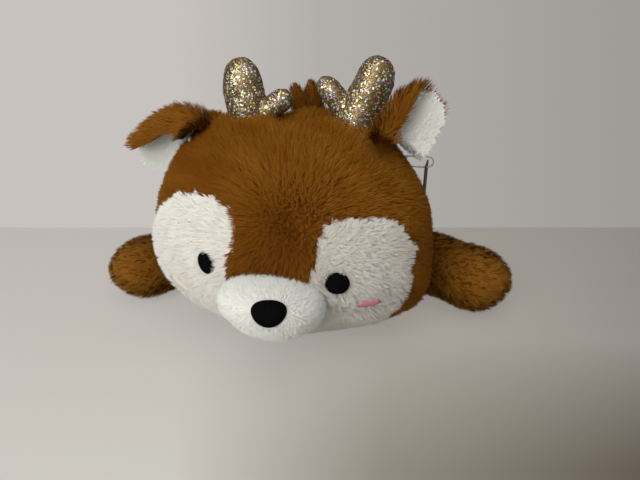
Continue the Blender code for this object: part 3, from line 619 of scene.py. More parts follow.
def keepCheek(points, normals):
    gap = padGap(points, ["eyeLeft", "eyeRight", "blushLeft"])
    hidden = muzzleDepthOf(points, tuck["pile"]) < 1
    over = padGap(points, ["blushRight"]) < 1
    trimmed = np.where(over, seam["overBlush"], 1 - seam["whiteTrim"] * atSeam(points, normals))
    return np.where(hidden | (gap < rim["inside"]), 0, trimmed)


def keepMuzzle(points, normals):
    gap = padGap(points, ["noseVelvet"])
    hidden = headDepthOf(points, tuck["skin"]) < 1
    return np.where(hidden | (gap < rim["inside"]), 0, 1.0)


def atPads(points):
    # 1 at the rims of the eyes and nose, where the pile stands up round them
    gap = padGap(points, ["eyeLeft", "eyeRight", "noseVelvet", "blushLeft"])
    return np.exp(-((gap - 1) / rim["reach"]) ** 2)


browFur = {"spacing": 0.00092, "length": 0.0094, "width": 0.00042, "lock": 0.0024, "stray": 0.14,
           "lift": 0.06, "meet": 0.28, "stand": 0.60, "lay": 1.40}
cheekFur = {"spacing": 0.00078, "length": 0.0062, "width": 0.00038, "lock": 0.0018, "stray": 0.40,
            "lift": 0.09, "meet": 0.12, "stand": 0.40, "lay": 1.12}
muzzleFur = {"spacing": 0.00062, "length": 0.0040, "width": 0.00034, "lock": 0.0013, "stray": 0.45,
             "lift": 0.06, "meet": 0.05, "stand": 0.30, "lay": 0.95}


farSide = {"from": 0.030, "density": 0.45}
# painted shade on the brow: how much darker it is, then its middle and its size in pixels
browPaintedShade = [(-0.38, (280, 238), (56, 42)), (-0.30, (205, 168), (50, 34))]
antlerRoots = {"across": (0.0400, -0.0440), "back": 0.006, "above": 0.04, "size": 0.024}


def seenSide(points):
    # strands stand closer where the photograph looks at them, to keep their number down
    return np.where(inHead(points)[:, 1] > farSide["from"], farSide["density"], 1.0)


def atWhorl(points):
    # 1 at the whorl, where the pile stands and shows its depth, fading to 0 around it
    gap = np.linalg.norm(points - np.array(whorl), axis=1)
    return np.exp(-(gap / head["whorlSize"]) ** 2)


def patch(points, middle, size):
    # 1 at one pixel of the photograph, fading to 0 around it
    return np.exp(-np.sum(((photoPixel(points) - np.array(middle)) / np.array(size)) ** 2, axis=1))


def atAntlers(points):
    # 1 round the roots of the antlers, where the pile stands up against them
    local = inHead(points)
    gap = np.minimum(*[np.hypot(local[:, 0] - x, local[:, 1] - antlerRoots["back"])
                       for x in antlerRoots["across"]])
    return np.where(local[:, 2] > antlerRoots["above"], np.exp(-(gap / antlerRoots["size"]) ** 4), 0)


browFur["upright"] = lambda points: np.maximum(atWhorl(points), atAntlers(points))
browFur["density"] = seenSide
# the brow's tone: a random mottle, and painted shade at two places
browFur["tone"] = lambda points, normals: (0.14 * noiseOf(points, 0.030, 22)
                                           + sum(shade * patch(points, *at) for shade, *at in browPaintedShade))
cheekFur["upright"] = muzzleFur["upright"] = atPads
cheekFur["tone"] = lambda points, normals: 0.24 * noiseOf(points, 0.016, 33)
headComb = {"behind": 0.01, "curl": 0.0035, "fan": 0.5, "down": (0, 0.5, -0.8), "rise": (0, 0, 0.06)}


def headFlow(points, normals):
    # the pile fans out from the whorl between the eyes, up over the brow and down at the sides
    away = unit(points - np.array(whorl))
    back = inHead(points)[:, 1:2] > headComb["behind"]
    near = atWhorl(points)[:, None]
    wander = np.stack([noiseOf(points, headComb["curl"], seed) for seed in (24, 25, 26)], axis=1)
    return np.where(back, away * headComb["fan"] + np.array(headComb["down"]),
                    away * (1 - near) + wander * near + np.array(headComb["rise"]))


growFur("headFur", headSkin, browFur, headFlow, "toy", "brown", 21, keepHead)
cheekFlow = awayFrom(muzzlePlace.translation, (0, 0, -0.3))
for word, side in sides.items():
    # the deer's left cheek's pile takes the darker copy of the white: painted shade
    growFur("cheekFur" + word.capitalize(), cheekSkins[word], cheekFur, cheekFlow, "toy",
            "shadedWhite" if side > 0 else "white", 31 + side, keepCheek)
nosePlace = padPlaces["noseVelvet"][0].inverted().translation
growFur("muzzleFur", muzzleSkin, muzzleFur, awayFrom(nosePlace), "toy", "snow", 41, keepMuzzle)
print("head fur grown")

# Body
body = {"width": 0.1680, "length": 0.2100, "height": 0.1380, "back": 0.0920, "power": 2.4, "steps": 36,
        "inset": 0.0062, "softSize": 0.09, "softRise": 0.0016}
bodyHalf = np.array([body["width"], body["length"], body["height"]]) / 2
bodyPlace = Matrix.Translation(toyShift + Vector((0, body["back"], body["height"] / 2 - restGap)))
bodyCentre = np.array(bodyPlace.translation)


def bodyDepthOf(points, growth=0.0):
    local = np.asarray(points) - bodyCentre
    return np.sum(np.abs(local / (bodyHalf + growth)) ** body["power"], axis=1)


def softened(bm, matrix, size, rise, seed):
    # uneven stuffing: the form swells and sinks a little, and lies flat on the floor
    bm.transform(matrix)
    bmesh.ops.recalc_face_normals(bm, faces=bm.faces)
    places, normals = vertRows(bm)
    places += normals * (rise * noiseOf(places, size, seed))[:, None]
    places[:, 2] = np.maximum(places[:, 2], restGap)
    moveVerts(bm, places)
    return bm


ball = powerBall(bodyHalf - body["inset"], body["power"], body["steps"])
softened(ball, bodyPlace, body["softSize"], body["softRise"], 51)
bodySkin = placed("bodySkin", ball, identity, [backings["brown"]], "toy",
                  lambda bm: headDepthOf(faceCentres(bm)[0], tuck["skin"]) > 1)
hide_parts("back_panel_left", "back_panel_right", "belly_panel", "body_stuffing")
backFur = {"spacing": 0.00140, "length": 0.0100, "width": 0.00066, "lock": 0.0034, "stray": 0.18,
           "lift": 0.08, "meet": 0.35, "stand": 0.55, "lay": 1.36}
# the underside has no pile below this height where it faces this far down; the spine's seam is trimmed
underside = {"height": 0.004, "body": -0.8, "leg": -0.85}
spine = {"half": 0.0012, "facing": -0.5, "trim": 0.55}
bodyComb = {"outwards": 3, "back": 0.7, "down": 0.45}


def keepBody(points, normals):
    # no strands inside the head, and none where the toy lies on them
    hidden = headDepthOf(points, tuck["pile"]) < 1
    under = (points[:, 2] < underside["height"]) & (normals[:, 2] < underside["body"])
    atSpine = (np.abs(points[:, 0]) < spine["half"]) & (normals[:, 2] > spine["facing"])
    return np.where(hidden | under, 0, np.where(atSpine, spine["trim"], 1.0))


def bodyFlow(points, normals):
    # the pile lies backwards, and down at the flanks
    return np.stack([points[:, 0] * bodyComb["outwards"], np.full(len(points), bodyComb["back"]),
                     np.full(len(points), -bodyComb["down"])], axis=1)


growFur("bodyFur", bodySkin, backFur, bodyFlow, "toy", "brown", 52, keepBody)
print("body", len(bodySkin.data.vertices))

# Legs: a ball at the root, a neck, and a paw that swells to its end
frontLeg = {"reach": 0.1250, "paw": 0.0340, "ball": 0.0250, "neck": 0.0255, "squash": 0.90}
hindLeg = {"reach": 0.0880, "paw": 0.0300, "ball": 0.0220, "neck": 0.0190, "squash": 0.96}
legShape = {"inset": 0.0060, "neckShare": 0.76, "rings": 30, "sides": 30, "least": 0.0004,
            "softSize": 0.06, "softRise": 0.0012}
legCurl = {"share": 0.65, "size": 0.0060, "rise": 0.10}
# how much the tone changes and over what length; the fringe's share is painted light, how much paler a front
# paw's rim is where the window lights it
legMottleAndLight = {"base": 0.36, "fine": (0.24, 0.007), "coarse": (0.14, 0.020), "litFringe": 0.45}
legFur = {"spacing": 0.00098, "length": 0.0094, "width": 0.00044, "lock": 0.0026, "stray": 0.15,
          "lift": 0.06, "meet": 0.30, "stand": 0.60, "lay": 1.34}


def legRadius(leg, along):
    # radius of a leg at a distance from its hinge, eased from ball to neck to paw
    neckAt = leg["ball"] * legShape["neckShare"]
    fullAt = leg["reach"] - leg["paw"]
    if along <= neckAt:
        ball = math.sqrt(max(leg["ball"] ** 2 - along ** 2, 0))
        ease = max(0.0, min(1.0, along / neckAt))
        return ball * (1 - ease ** 3) + leg["neck"] * ease ** 3
    if along <= fullAt:
        share = (along - neckAt) / (fullAt - neckAt)
        return leg["neck"] + (leg["paw"] - leg["neck"]) * share * share * (3 - 2 * share)
    return math.sqrt(max(leg["paw"] ** 2 - (along - fullAt) ** 2, 0))


def legForm(leg):
    # rings close up towards both ends, so that the ends are round
    bm = bmesh.new()
    rings = []
    start, end = -leg["ball"], leg["reach"]
    for step in range(1, legShape["rings"]):
        share = (1 - math.cos(math.pi * step / legShape["rings"])) / 2
        along = start + (end - start) * share
        radius = max(legRadius(leg, along) - legShape["inset"], legShape["least"])
        ring = []
        for turn in range(legShape["sides"]):
            angle = 2 * math.pi * turn / legShape["sides"]
            up = radius * (math.sin(angle) * leg["squash"] + leg["squash"] - 1)
            ring.append(bm.verts.new((along, radius * math.cos(angle), up)))
        rings.append(ring)
    for near, far in zip(rings, rings[1:]):
        for turn in range(legShape["sides"]):
            after = (turn + 1) % legShape["sides"]
            bm.faces.new((near[turn], near[after], far[after], far[turn]))
    bm.faces.new(rings[0][::-1])
    bm.faces.new(rings[-1])
    for vert in rings[0]:
        vert.co.x += legShape["inset"]
    for vert in rings[-1]:
        vert.co.x -= legShape["inset"]
    return bm


def hingeMatrix(joint, way):
    # the hinge's place, with X along the limb and Z up
    spot = Vector(joints[joint]["pos_m"])
    return Matrix.Translation(spot) @ Matrix.Rotation(way, 4, "Z")


# a front leg's fringe is the pixel and size of its painted light on the paw's rim
legs = {
    "frontLegLeft": {"leg": dict(frontLeg, neck=0.0315, squash=0.95), "joint": "front_leg_left_swing",
                     "body": "front_leg_left", "way": math.radians(-39), "litFringe": ((512, 262), (26, 26)),
                     "seed": 61},
    "frontLegRight": {"leg": frontLeg, "joint": "front_leg_right_swing", "body": "front_leg_right",
                      "way": math.radians(180 + 39), "litFringe": ((104, 262), (24, 34)), "seed": 63},
    "hindLegLeft": {"leg": hindLeg, "joint": "hind_leg_left_swing", "body": "hind_leg_left",
                    "way": math.radians(44), "litFringe": None, "seed": 65},
    "hindLegRight": {"leg": hindLeg, "joint": "hind_leg_right_swing", "body": "hind_leg_right",
                     "way": math.radians(180 - 44), "litFringe": None, "seed": 67},
}


def keepLeg(points, normals):
    hidden = (bodyDepthOf(points, tuck["leg"]) < 1) | (headDepthOf(points, tuck["leg"]) < 1)
    under = (points[:, 2] < underside["height"]) & (normals[:, 2] < underside["leg"])
    return np.where(hidden | under, 0, 1.0)


def legFlow(outWay):
    # pile combed to the paw's tip, in curls
    def flow(points, normals):
        wander = np.stack([noiseOf(points, legCurl["size"], seed) for seed in (27, 28, 29)], axis=1)
        return outWay + wander * legCurl["share"] + np.array([0, 0, legCurl["rise"]])
    return flow


def legTone(litFringe):
    # mottled, with painted light that makes the fringe paler where the window lights it
    def tone(points, normals):
        shade = legMottleAndLight["base"]
        for seed, grain in ((68, "fine"), (69, "coarse")):
            rise, size = legMottleAndLight[grain]
            shade = shade + rise * noiseOf(points, size, seed)
        return shade + legMottleAndLight["litFringe"] * patch(points, *litFringe) if litFringe else shade
    return tone


for name, one in legs.items():
    matrix = hingeMatrix(one["joint"], one["way"])
    form = softened(legForm(one["leg"]), matrix, legShape["softSize"], legShape["softRise"], one["seed"])
    skin = placed(name + "Skin", form, identity, [backings["brown"]], one["body"])
    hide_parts(one["body"] + "_skin", one["body"] + "_stuffing")
    one["matrix"] = matrix
    outWay = np.array(matrix.to_3x3() @ Vector((1, 0, 0)))
    fur = dict(legFur, tone=legTone(one["litFringe"]))
    growFur(name + "Fur", skin, fur, legFlow(outWay), one["body"], "brown", one["seed"] + 1, keepLeg)
print("legs", len(legs))

# Ears: two layers of plush, folded over a ridge, on a root seam that turns
ear = {"sink": 0.0030, "bend": 0.0090, "outer": 0.0010, "inner": -0.0010, "rows": 26, "columns": 28,
       "step": 0.01}
ears = {
    "left": {"raise": math.radians(59), "droop": 0.0033, "sag": 4.0, "arch": 0.0053, "aside": 0.0153,
             "front": math.radians(100), "back": math.radians(100), "fold": 0.24, "length": 0.0505,
             "half": 0.0312, "tip": 40, "fade": 0.2, "shares": (0.60, 0.98, 1.04, 1.00, 0.92, 0.78, 0.50),
             "seed": 71},
    "right": {"raise": math.radians(15.2), "droop": 0.0363, "sag": 2.14, "arch": 0.0095, "aside": 0.0217,
              "front": math.radians(92), "back": math.radians(88), "fold": 0.42, "length": 0.0575,
              "half": 0.0420, "tip": 7, "fade": 0.8, "shares": (0.55, 0.90, 1.00, 1.00, 0.97, 0.90, 0.80),
              "seed": 75},
}
# how far each face spans the leaf in front and behind, and where along it the face starts
outerFace = (1.0, 0.86, 0.0)
innerFace = (0.93, 1.0, 0.16)
earFur = {"spacing": 0.00084, "length": 0.0100, "width": 0.00042, "lock": 0.0024, "stray": 0.22,
          "lift": 0.10, "meet": 0.22, "stand": 0.40, "lay": 1.20, "tone": lambda points, normals: 0.06}
innerFur = {"spacing": 0.00070, "length": 0.0042, "width": 0.00036, "lock": 0.0020, "stray": 0.5,
            "lift": 0.14, "meet": 0.25, "stand": 0.50, "lay": 1.15,
            "tone": lambda points, normals: 0.25 * noiseOf(points, 0.006, 77)}


def earWidth(one, share):
    # half width of the leaf, as a smooth curve through its shares
    shares = one["shares"]
    at = min(max(share, 0), 1) * (len(shares) - 1)
    low = min(int(at), len(shares) - 2)
    before, after = shares[max(low - 1, 0)], shares[min(low + 2, len(shares) - 1)]
    a, b, t = shares[low], shares[low + 1], at - low
    slopeA, slopeB = (b - before) / 2, (after - a) / 2
    blunt = math.sqrt(1 - 0.97 * min(max(share, 0), 1) ** one["tip"])
    return one["half"] * blunt * (a + t * slopeA + t * t * (3 * (b - a) - 2 * slopeA - slopeB)
                                   + t ** 3 * (2 * (a - b) + slopeA + slopeB))


def earPoint(share, across, side, one):
    # a place on the folded leaf: a bend along its ridge, a short flap in front and a long one behind
    ease = min(1.0, max(share, 0) / one["fold"])
    ease = ease * ease * (3 - 2 * ease)
    reach = across * earWidth(one, share) + one["aside"] * ease * (1 - one["fade"] * max(share, 0) ** 3)
    turn = (one["front"] if reach < 0 else one["back"]) * ease
    angle = min(abs(reach) / ear["bend"], turn)
    flap = abs(reach) - angle * ear["bend"]
    y = math.copysign(ear["bend"] * math.sin(angle) + flap * math.cos(turn), reach)
    z = -ear["bend"] * (1 - math.cos(angle)) - flap * math.sin(turn)
    return Vector((one["length"] * share, side * y,
                   z - one["droop"] * max(share, 0) ** one["sag"] + 4 * one["arch"] * share * (1 - share)))


def earSheet(side, one, offset, front, rear, start):
    # one face of the leaf, offset along its normal; the lining is smaller and starts later
    bm = bmesh.new()
    rows = []
    step = ear["step"]
    for row in range(ear["rows"] + 1):
        share = start + (1 - start) * row / ear["rows"]
        line = []
        for column in range(ear["columns"] + 1):
            across = -front + (front + rear) * column / ear["columns"]
            ahead = earPoint(share + step, across, side, one) - earPoint(share - step, across, side, one)
            beside = earPoint(share, across + step, side, one) - earPoint(share, across - step, side, one)
            outward = ahead.cross(beside * side).normalized()
            line.append(bm.verts.new(earPoint(share, across, side, one) + outward * offset))
        rows.append(line)
    for near, far in zip(rows, rows[1:]):
        for column in range(ear["columns"]):
            corners = (near[column], near[column + 1], far[column + 1], far[column])
            bm.faces.new(corners[::-1] if (side > 0) == (offset > 0) else corners)
    return bm


def sheetObject(name, bm, matrix, material, bodyName):
    bm.transform(matrix)
    bm.normal_update()
    mesh = bpy.data.meshes.new(name)
    bm.to_mesh(mesh)
    bm.free()
    mesh.shade_smooth()
    mesh.materials.append(material)
    return rideObject(name, mesh, bodyName)


def keepEar(points, normals):
    return np.where(headDepthOf(points, tuck["pile"]) < 1, 0, 1.0)


for word, one in ears.items():
    side = sides[word]
    bodyName = "ear_" + word
    turn = headPlace.to_3x3().normalized() @ Euler((0, -one["raise"], 0 if side > 0 else math.pi)).to_matrix()
    root = Vector(joints["ear_%s_tip" % word]["pos_m"]) - Vector((0, 0, ear["sink"]))
    matrix = Matrix.Translation(root) @ turn.to_4x4()
    outer = sheetObject("earOuterSkin" + word.capitalize(), earSheet(side, one, ear["outer"], *outerFace),
                        matrix, backings["brown"], bodyName)
    inner = sheetObject("earInnerSkin" + word.capitalize(), earSheet(side, one, ear["inner"], *innerFace),
                        matrix, backings["snow"], bodyName)
    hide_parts("ear_outer_panel_" + word)
    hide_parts("ear_inner_panel_" + word)
    tipWay = turn @ Vector((1, 0, 0))
    growFur("earFur" + word.capitalize(), outer, earFur, awayFrom(root, tipWay * 0.4), bodyName,
            "brown", one["seed"], keepEar)
    growFur("earLiningFur" + word.capitalize(), inner, innerFur, awayFrom(root, tipWay * 0.6), bodyName,
            "snow", one["seed"] + 1, keepEar)
print("ears", len(ears))

# Antlers: stuffed glitter fabric with a seam round the edge
antlers = {
    "left": {"out": 0.0380, "rise": 0.0785, "lean": math.radians(17.5), "branchLean": math.radians(-44),
             "width": 0.0310, "root": 1.24, "branchRise": 0.0130, "seed": 81},
    "right": {"out": 0.0450, "rise": 0.0665, "lean": math.radians(11), "branchLean": math.radians(-51),
              "width": 0.0340, "root": 0.80, "branchRise": 0.0145, "seed": 85},
}
antler = {"back": 0.0110, "length": 0.0650, "thick": 0.0245, "branch": 0.0410, "branchWidth": 0.0180,
          "branchThick": 0.0165, "dome": 1.85, "blunt": 1.3, "voxel": 0.0011, "branchRoot": 0.85,
          "seamRise": 0.0005, "seamWidth": 0.0011, "puckerRise": 0.0002, "puckerWidth": 0.0050,
          "puckerSize": 0.006, "softRise": 0.0004, "softSize": 0.024}
tine = {"rings": 16, "sides": 24, "shaft": 0.62, "closed": 0.985, "round": 0.85}


groundStops = [(0, (0.095, 0.058, 0.022)), (0.45, (0.165, 0.110, 0.048)), (0.75, (0.26, 0.195, 0.095)),
               (0.93, (0.52, 0.45, 0.28)), (1, (0.90, 0.87, 0.70))]
flakeStops = [(0, (0.95, 0.93, 0.80)), (0.22, (0.90, 0.78, 0.25)), (0.45, (0.30, 0.55, 0.95)),
              (0.62, (0.55, 0.35, 0.85)), (0.80, (0.45, 0.85, 0.55)), (1, (1.0, 0.98, 0.92))]


def glitterMaterial():
    # small flakes, each with its own hue and its own tilt, over a gold brown ground
    made, nodes, links, shader = newMaterial("goldGlitterFabric", (0.26, 0.18, 0.09), 0.32)
    shader.inputs["Metallic"].default_value = 0.62
    place = newNode(nodes, "TexCoord")
    flakes = newNode(nodes, "TexVoronoi", {"Scale": 1500})
    rare = newNode(nodes, "TexVoronoi", {"Scale": 900})
    split = newNode(nodes, "SeparateColor")
    splitRare = newNode(nodes, "SeparateColor")
    ground = newRamp(nodes, groundStops, "CONSTANT")
    hue = newRamp(nodes, flakeStops, "CONSTANT")
    chosen = newNode(nodes, "Math", {1: 0.88}, operation="GREATER_THAN")
    mixed = newNode(nodes, "Mix", data_type="RGBA")
    tilt = newNode(nodes, "VectorMath", {1: (0.5, 0.5, 0.5)}, operation="SUBTRACT")
    scaled = newNode(nodes, "VectorMath", operation="SCALE")
    scaled.inputs["Scale"].default_value = 0.44
    geometry = newNode(nodes, "NewGeometry")
    added = newNode(nodes, "VectorMath")
    straight = newNode(nodes, "VectorMath", operation="NORMALIZE")
    joinNodes(links, (place, "Object", flakes, "Vector"), (place, "Object", rare, "Vector"),
              (flakes, "Color", split, "Color"), (rare, "Color", splitRare, "Color"),
              (split, "Red", ground, "Fac"), (splitRare, "Green", hue, "Fac"), (splitRare, "Red", chosen, 0),
              (chosen, "Value", mixed, "Factor"), (ground, "Color", mixed, "A"), (hue, "Color", mixed, "B"),
              (mixed, "Result", shader, "Base Color"), (flakes, "Color", tilt, 0),
              (tilt, "Vector", scaled, 0), (scaled, "Vector", added, 0), (geometry, "Normal", added, 1),
              (added, "Vector", straight, 0), (straight, "Vector", shader, "Normal"))
    return made


def tineForm(length, width, thick, root):
    # a blunt stuffed finger along Z, fullest near its end
    bm = bmesh.new()
    dome = width / 2 * antler["dome"] / antler["blunt"]
    full = length - dome
    lines = []
    for step in range(tine["rings"] + 1):
        share = step / tine["rings"]
        if share < tine["shaft"]:
            at = share / tine["shaft"]
            height, swell = full * at, root + (1 - root) * math.sin(math.pi / 2 * at)
        else:
            angle = math.pi / 2 * (share - tine["shaft"]) / (1 - tine["shaft"]) * tine["closed"]
            height, swell = full + dome * math.sin(angle), math.cos(angle) ** tine["round"]
        line = []
        for turn in range(tine["sides"]):
            angle = 2 * math.pi * turn / tine["sides"]
            place = (width / 2 * swell * math.cos(angle), thick / 2 * swell * math.sin(angle), height)
            line.append(bm.verts.new(place))
        lines.append(line)
    for near, far in zip(lines, lines[1:]):
        for turn in range(tine["sides"]):
            after = (turn + 1) % tine["sides"]
            bm.faces.new((near[turn], near[after], far[after], far[turn]))
    bm.faces.new(lines[0][::-1])
    bm.faces.new(lines[-1])
    return bm


def antlerForm(one, side):
    # tine and branch as one closed skin, puckered towards the seam in the middle plane
    trunk = tineForm(antler["length"], one["width"], antler["thick"], one["root"])
    trunk.transform(Matrix.Rotation(side * one["lean"], 4, "Y"))
    branch = tineForm(antler["branch"], antler["branchWidth"], antler["branchThick"], antler["branchRoot"])
    branch.transform(Matrix.Translation((0, 0, one["branchRise"]))
                     @ Matrix.Rotation(side * one["branchLean"], 4, "Y"))
    mesh = bpy.data.meshes.new("antlerDraft")
    branch.to_mesh(mesh)
    trunk.from_mesh(mesh)
    trunk.to_mesh(mesh)
    trunk.free()
    branch.free()
    draft = bpy.data.objects.new("antlerDraft", mesh)
    bpy.context.scene.collection.objects.link(draft)
    blend = draft.modifiers.new("blend", "REMESH")
    blend.mode = "VOXEL"
    blend.voxel_size = antler["voxel"]
    ease = draft.modifiers.new("ease", "SMOOTH")
    ease.iterations = 12
    ease.factor = 0.6
    bpy.context.view_layer.update()
    bm = bmesh.new()
    bm.from_mesh(draft.evaluated_get(bpy.context.evaluated_depsgraph_get()).to_mesh())
    bpy.data.objects.remove(draft, do_unlink=True)
    places, normals = vertRows(bm)
    near = np.exp(-(places[:, 1] / antler["seamWidth"]) ** 2)
    pucker = np.exp(-(places[:, 1] / antler["puckerWidth"]) ** 2)
    push = antler["seamRise"] * near
    push += antler["puckerRise"] * pucker * noiseOf(places, antler["puckerSize"], one["seed"])
    push += antler["softRise"] * noiseOf(places, antler["softSize"], one["seed"] + 1)
    places += normals * push[:, None]
    moveVerts(bm, places)
    return bm


glitter = glitterMaterial()
for word, one in antlers.items():
    side = sides[word]
    matrix = headPlace @ Matrix.Translation((side * one["out"], antler["back"], one["rise"]))
    made = placed("antler" + word.capitalize(), antlerForm(one, side), matrix, [glitter], "toy")
    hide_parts("antler_front_panel_" + word, "antler_back_panel_" + word, "antler_stuffing_" + word)
print("antlers", len(antlers))

# Tail: an upright tuft with two tips
tail = {"reach": 0.0745, "width": 0.0262, "thick": 0.0240, "lean": math.radians(-12.5),
        "pitch": math.radians(8), "inset": 0.0050, "steps": 12, "fork": 0.0085, "forkShare": 0.75,
        "spread": 0.10, "fuller": 0.001, "endInset": 0.006, "sink": 0.004}
tailFur = {"spacing": 0.00080, "length": 0.0085, "width": 0.00040, "lock": 0.0020, "stray": 0.20,
           "lift": 0.10, "meet": 0.15, "stand": 0.60, "lay": 1.25, "tone": lambda points, normals: 0.12}
tailTurn = Euler((tail["pitch"], tail["lean"], 0)).to_matrix().to_4x4()
tailPlace = Matrix.Translation(joints["tail_wag"]["pos_m"]) @ tailTurn
tuft = bmesh.new()
for way in (-1, 1):
    lobe = powerBall((tail["width"] / 4 + tail["fuller"], tail["thick"] / 2 - tail["inset"],
                      tail["reach"] / 2 - tail["endInset"]), 2.0, tail["steps"])
    lobe.transform(Matrix.Translation((way * tail["fork"] * tail["forkShare"], 0,
                                       tail["reach"] / 2 - tail["sink"]))
                   @ Matrix.Rotation(way * tail["spread"], 4, "Y"))
    draft = bpy.data.meshes.new("lobe")
    lobe.to_mesh(draft)
    lobe.free()
    tuft.from_mesh(draft)
tailSkin = placed("tailSkin", tuft, tailPlace, [backings["brown"]], "tail")
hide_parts("tail_skin", "tail_stuffing")
upTail = np.array(tailPlace.to_3x3() @ Vector((0, 0, 1)))
growFur("tailFur", tailSkin, tailFur, lambda points, normals: np.tile(upTail, (len(points), 1)), "tail",
        "brown", 91, lambda points, normals: np.where(bodyDepthOf(points, tuck["leg"]) < 1, 0, 1.0))
print("tail")

# Hang tag and its loop
cardMaterial, cardNodes, cardLinks, cardShader = newMaterial("darkCard", (0.050, 0.040, 0.030), 0.55)
grain = newNode(cardNodes, "TexNoise", {"Scale": 700})
grainTone = newRamp(cardNodes, [(0, (0.040, 0.032, 0.024)), (1, (0.085, 0.070, 0.055))])
joinNodes(cardLinks, (newNode(cardNodes, "TexCoord"), "Object", grain, "Vector"),
          (grain, "Fac", grainTone, "Fac"), (grainTone, "Color", cardShader, "Base Color"))
clearMaterial, _, _, clearShader = newMaterial("clearLoop", (0.74, 0.74, 0.73), 0.30)
clearShader.inputs["Transmission Weight"].default_value = 0.5
for node, material in (("tag_card", cardMaterial), ("tag_loop", clearMaterial)):
    mesh = frame["nodes"][node].data
    mesh.materials.clear()
    mesh.materials.append(material)
print("tag")

# Floor, wall, light and camera
shelfEdge = 0.606
wallAhead = 1.70
# half the picture's width at one metre ahead, and where the near painted light ends and the far one begins
stageHalf = 0.65
nearDepths = (0.219, 0.353)
stageMatrix = Matrix.Translation(viewPlace) @ viewTurn.to_4x4()


def stageSheet(name, corners, far, near=None, seen=1.0):
    # a pale sheet; its colour is painted light that falls off like the window light, and the camera sees a
    # share of it unshaded, as a glow
    mesh = bpy.data.meshes.new(name)
    mesh.from_pydata(corners, [], [(0, 1, 2, 3)])
    material, nodes, links, shader = newMaterial(name + "Paint", far[0][1], 0.6)
    place = newNode(nodes, "TexCoord")
    split = newNode(nodes, "SeparateXYZ")
    depth = newNode(nodes, "VectorMath", {1: (0, math.cos(view["down"]), -math.sin(view["down"]))},
                    operation="DOT_PRODUCT")
    slope = newNode(nodes, "Math", operation="DIVIDE")
    across = newNode(nodes, "MapRange", {"From Min": -stageHalf, "From Max": stageHalf})
    rays = newNode(nodes, "LightPath")
    share = newNode(nodes, "Math", {1: seen}, operation="MULTIPLY")
    glow = newNode(nodes, "Emission")
    mixed = newNode(nodes, "MixShader")
    paint = newRamp(nodes, far)
    joinNodes(links, (place, "Object", split, "Vector"), (place, "Object", depth, "Vector"),
              (split, "X", slope, 0), (depth, "Value", slope, 1), (slope, "Value", across, "Value"),
              (across, "Result", paint, "Fac"))
    shown = "Color"
    if near:
        nearPaint = newRamp(nodes, near)
        ahead = newNode(nodes, "MapRange", {"From Min": nearDepths[0], "From Max": nearDepths[1]})
        blend = newNode(nodes, "Mix", data_type="RGBA")
        joinNodes(links, (split, "Y", ahead, "Value"), (ahead, "Result", blend, "Factor"),
                  (across, "Result", nearPaint, "Fac"), (nearPaint, "Color", blend, "A"),
                  (paint, "Color", blend, "B"))
        paint, shown = blend, "Result"
    output = next(node for node in nodes if node.type == "OUTPUT_MATERIAL")
    joinNodes(links, (paint, shown, shader, "Base Color"), (paint, shown, glow, "Color"),
              (rays, "Is Camera Ray", share, 0), (share, "Value", mixed, "Fac"), (shader, "BSDF", mixed, 1),
              (glow, "Emission", mixed, 2), (mixed, "Shader", output, "Surface"))
    mesh.materials.append(material)
    made = bpy.data.objects.new(name, mesh)
    made.matrix_world = stageMatrix
    bpy.context.scene.collection.objects.link(made)


down = -view["above"]
# painted light: how the window light falls off from left to right, as shares of the width and the colour
# there
shelfFar = [(0.375, (0.555, 0.53, 0.49)), (0.625, (0.44, 0.415, 0.37)), (1.0, (0.325, 0.30, 0.275))]
shelfNear = [(0.27, (0.57, 0.555, 0.515)), (0.60, (0.275, 0.25, 0.215)), (1.0, (0.13, 0.108, 0.085))]
wallPaintedLight = [(0.27, (0.57, 0.54, 0.51)), (0.50, (0.445, 0.425, 0.405)), (1.0, (0.345, 0.325, 0.305))]
stageWide = 5
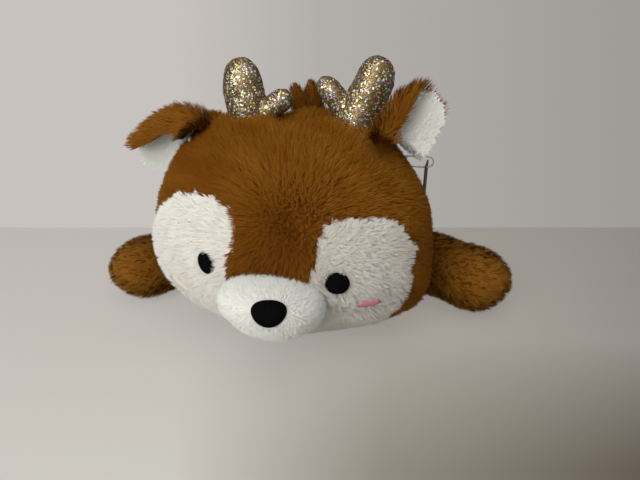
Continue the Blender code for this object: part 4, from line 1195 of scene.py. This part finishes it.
# the camera sees the shelf's painted light as a glow at this share, which lightens the shadows on it
stageSheet("shelf", [(-3, -2.2, down), (3, -2.2, down), (3, shelfEdge, down), (-3, shelfEdge, down)],
           shelfFar, shelfNear, 0.62)
stageSheet("ledge", [(-stageWide, shelfEdge, down), (stageWide, shelfEdge, down),
                     (stageWide, wallAhead, down), (-stageWide, wallAhead, down)], wallPaintedLight)
stageSheet("wall", [(-stageWide, wallAhead, down), (stageWide, wallAhead, down),
                    (stageWide, wallAhead, 3), (-stageWide, wallAhead, 3)], wallPaintedLight)

lamps = {
    "windowLamp": {"at": (-0.52, -0.86, 0.60), "size": 0.70, "watts": 8.4, "colour": (1.0, 0.985, 0.96)},
    "frontLamp": {"at": (-0.15, -1.15, 0.50), "size": 1.2, "watts": 4, "colour": (1.0, 0.985, 0.96)},
    "roomLamp": {"at": (0.05, -0.45, 1.00), "size": 1.1, "watts": 4.5, "colour": (1.0, 0.97, 0.93)},
}
for name, lamp in lamps.items():
    light = bpy.data.lights.new(name, "AREA")
    light.shape = "DISK"
    light.size = lamp["size"]
    light.energy = lamp["watts"]
    light.color = lamp["colour"]
    made = bpy.data.objects.new(name, light)
    spot = toyShift + viewTurn @ Vector(lamp["at"])
    made.location = spot
    made.rotation_euler = (toyShift + Vector((0, 0, 0.08)) - spot).to_track_quat("-Z", "Y").to_euler()
    bpy.context.scene.collection.objects.link(made)
world = bpy.data.worlds.new("room")
world.use_nodes = True
world.node_tree.nodes["Background"].inputs["Color"].default_value = (1.0, 0.985, 0.965, 1)
world.node_tree.nodes["Background"].inputs["Strength"].default_value = 0.32
bpy.context.scene.world = world
bpy.context.scene.view_settings.view_transform = "Standard"

cameraData = bpy.data.cameras.new("camera")
cameraData.lens = view["lens"]
cameraData.sensor_width = view["sensor"]
cameraData.clip_start = 0.01
camera = bpy.data.objects.new("camera", cameraData)
camera.matrix_world = (Matrix.Translation(viewPlace) @ viewTurn
                       @ Matrix.Rotation(math.pi / 2 - view["down"], 4, "X"))
bpy.context.scene.collection.objects.link(camera)
bpy.context.scene.camera = camera
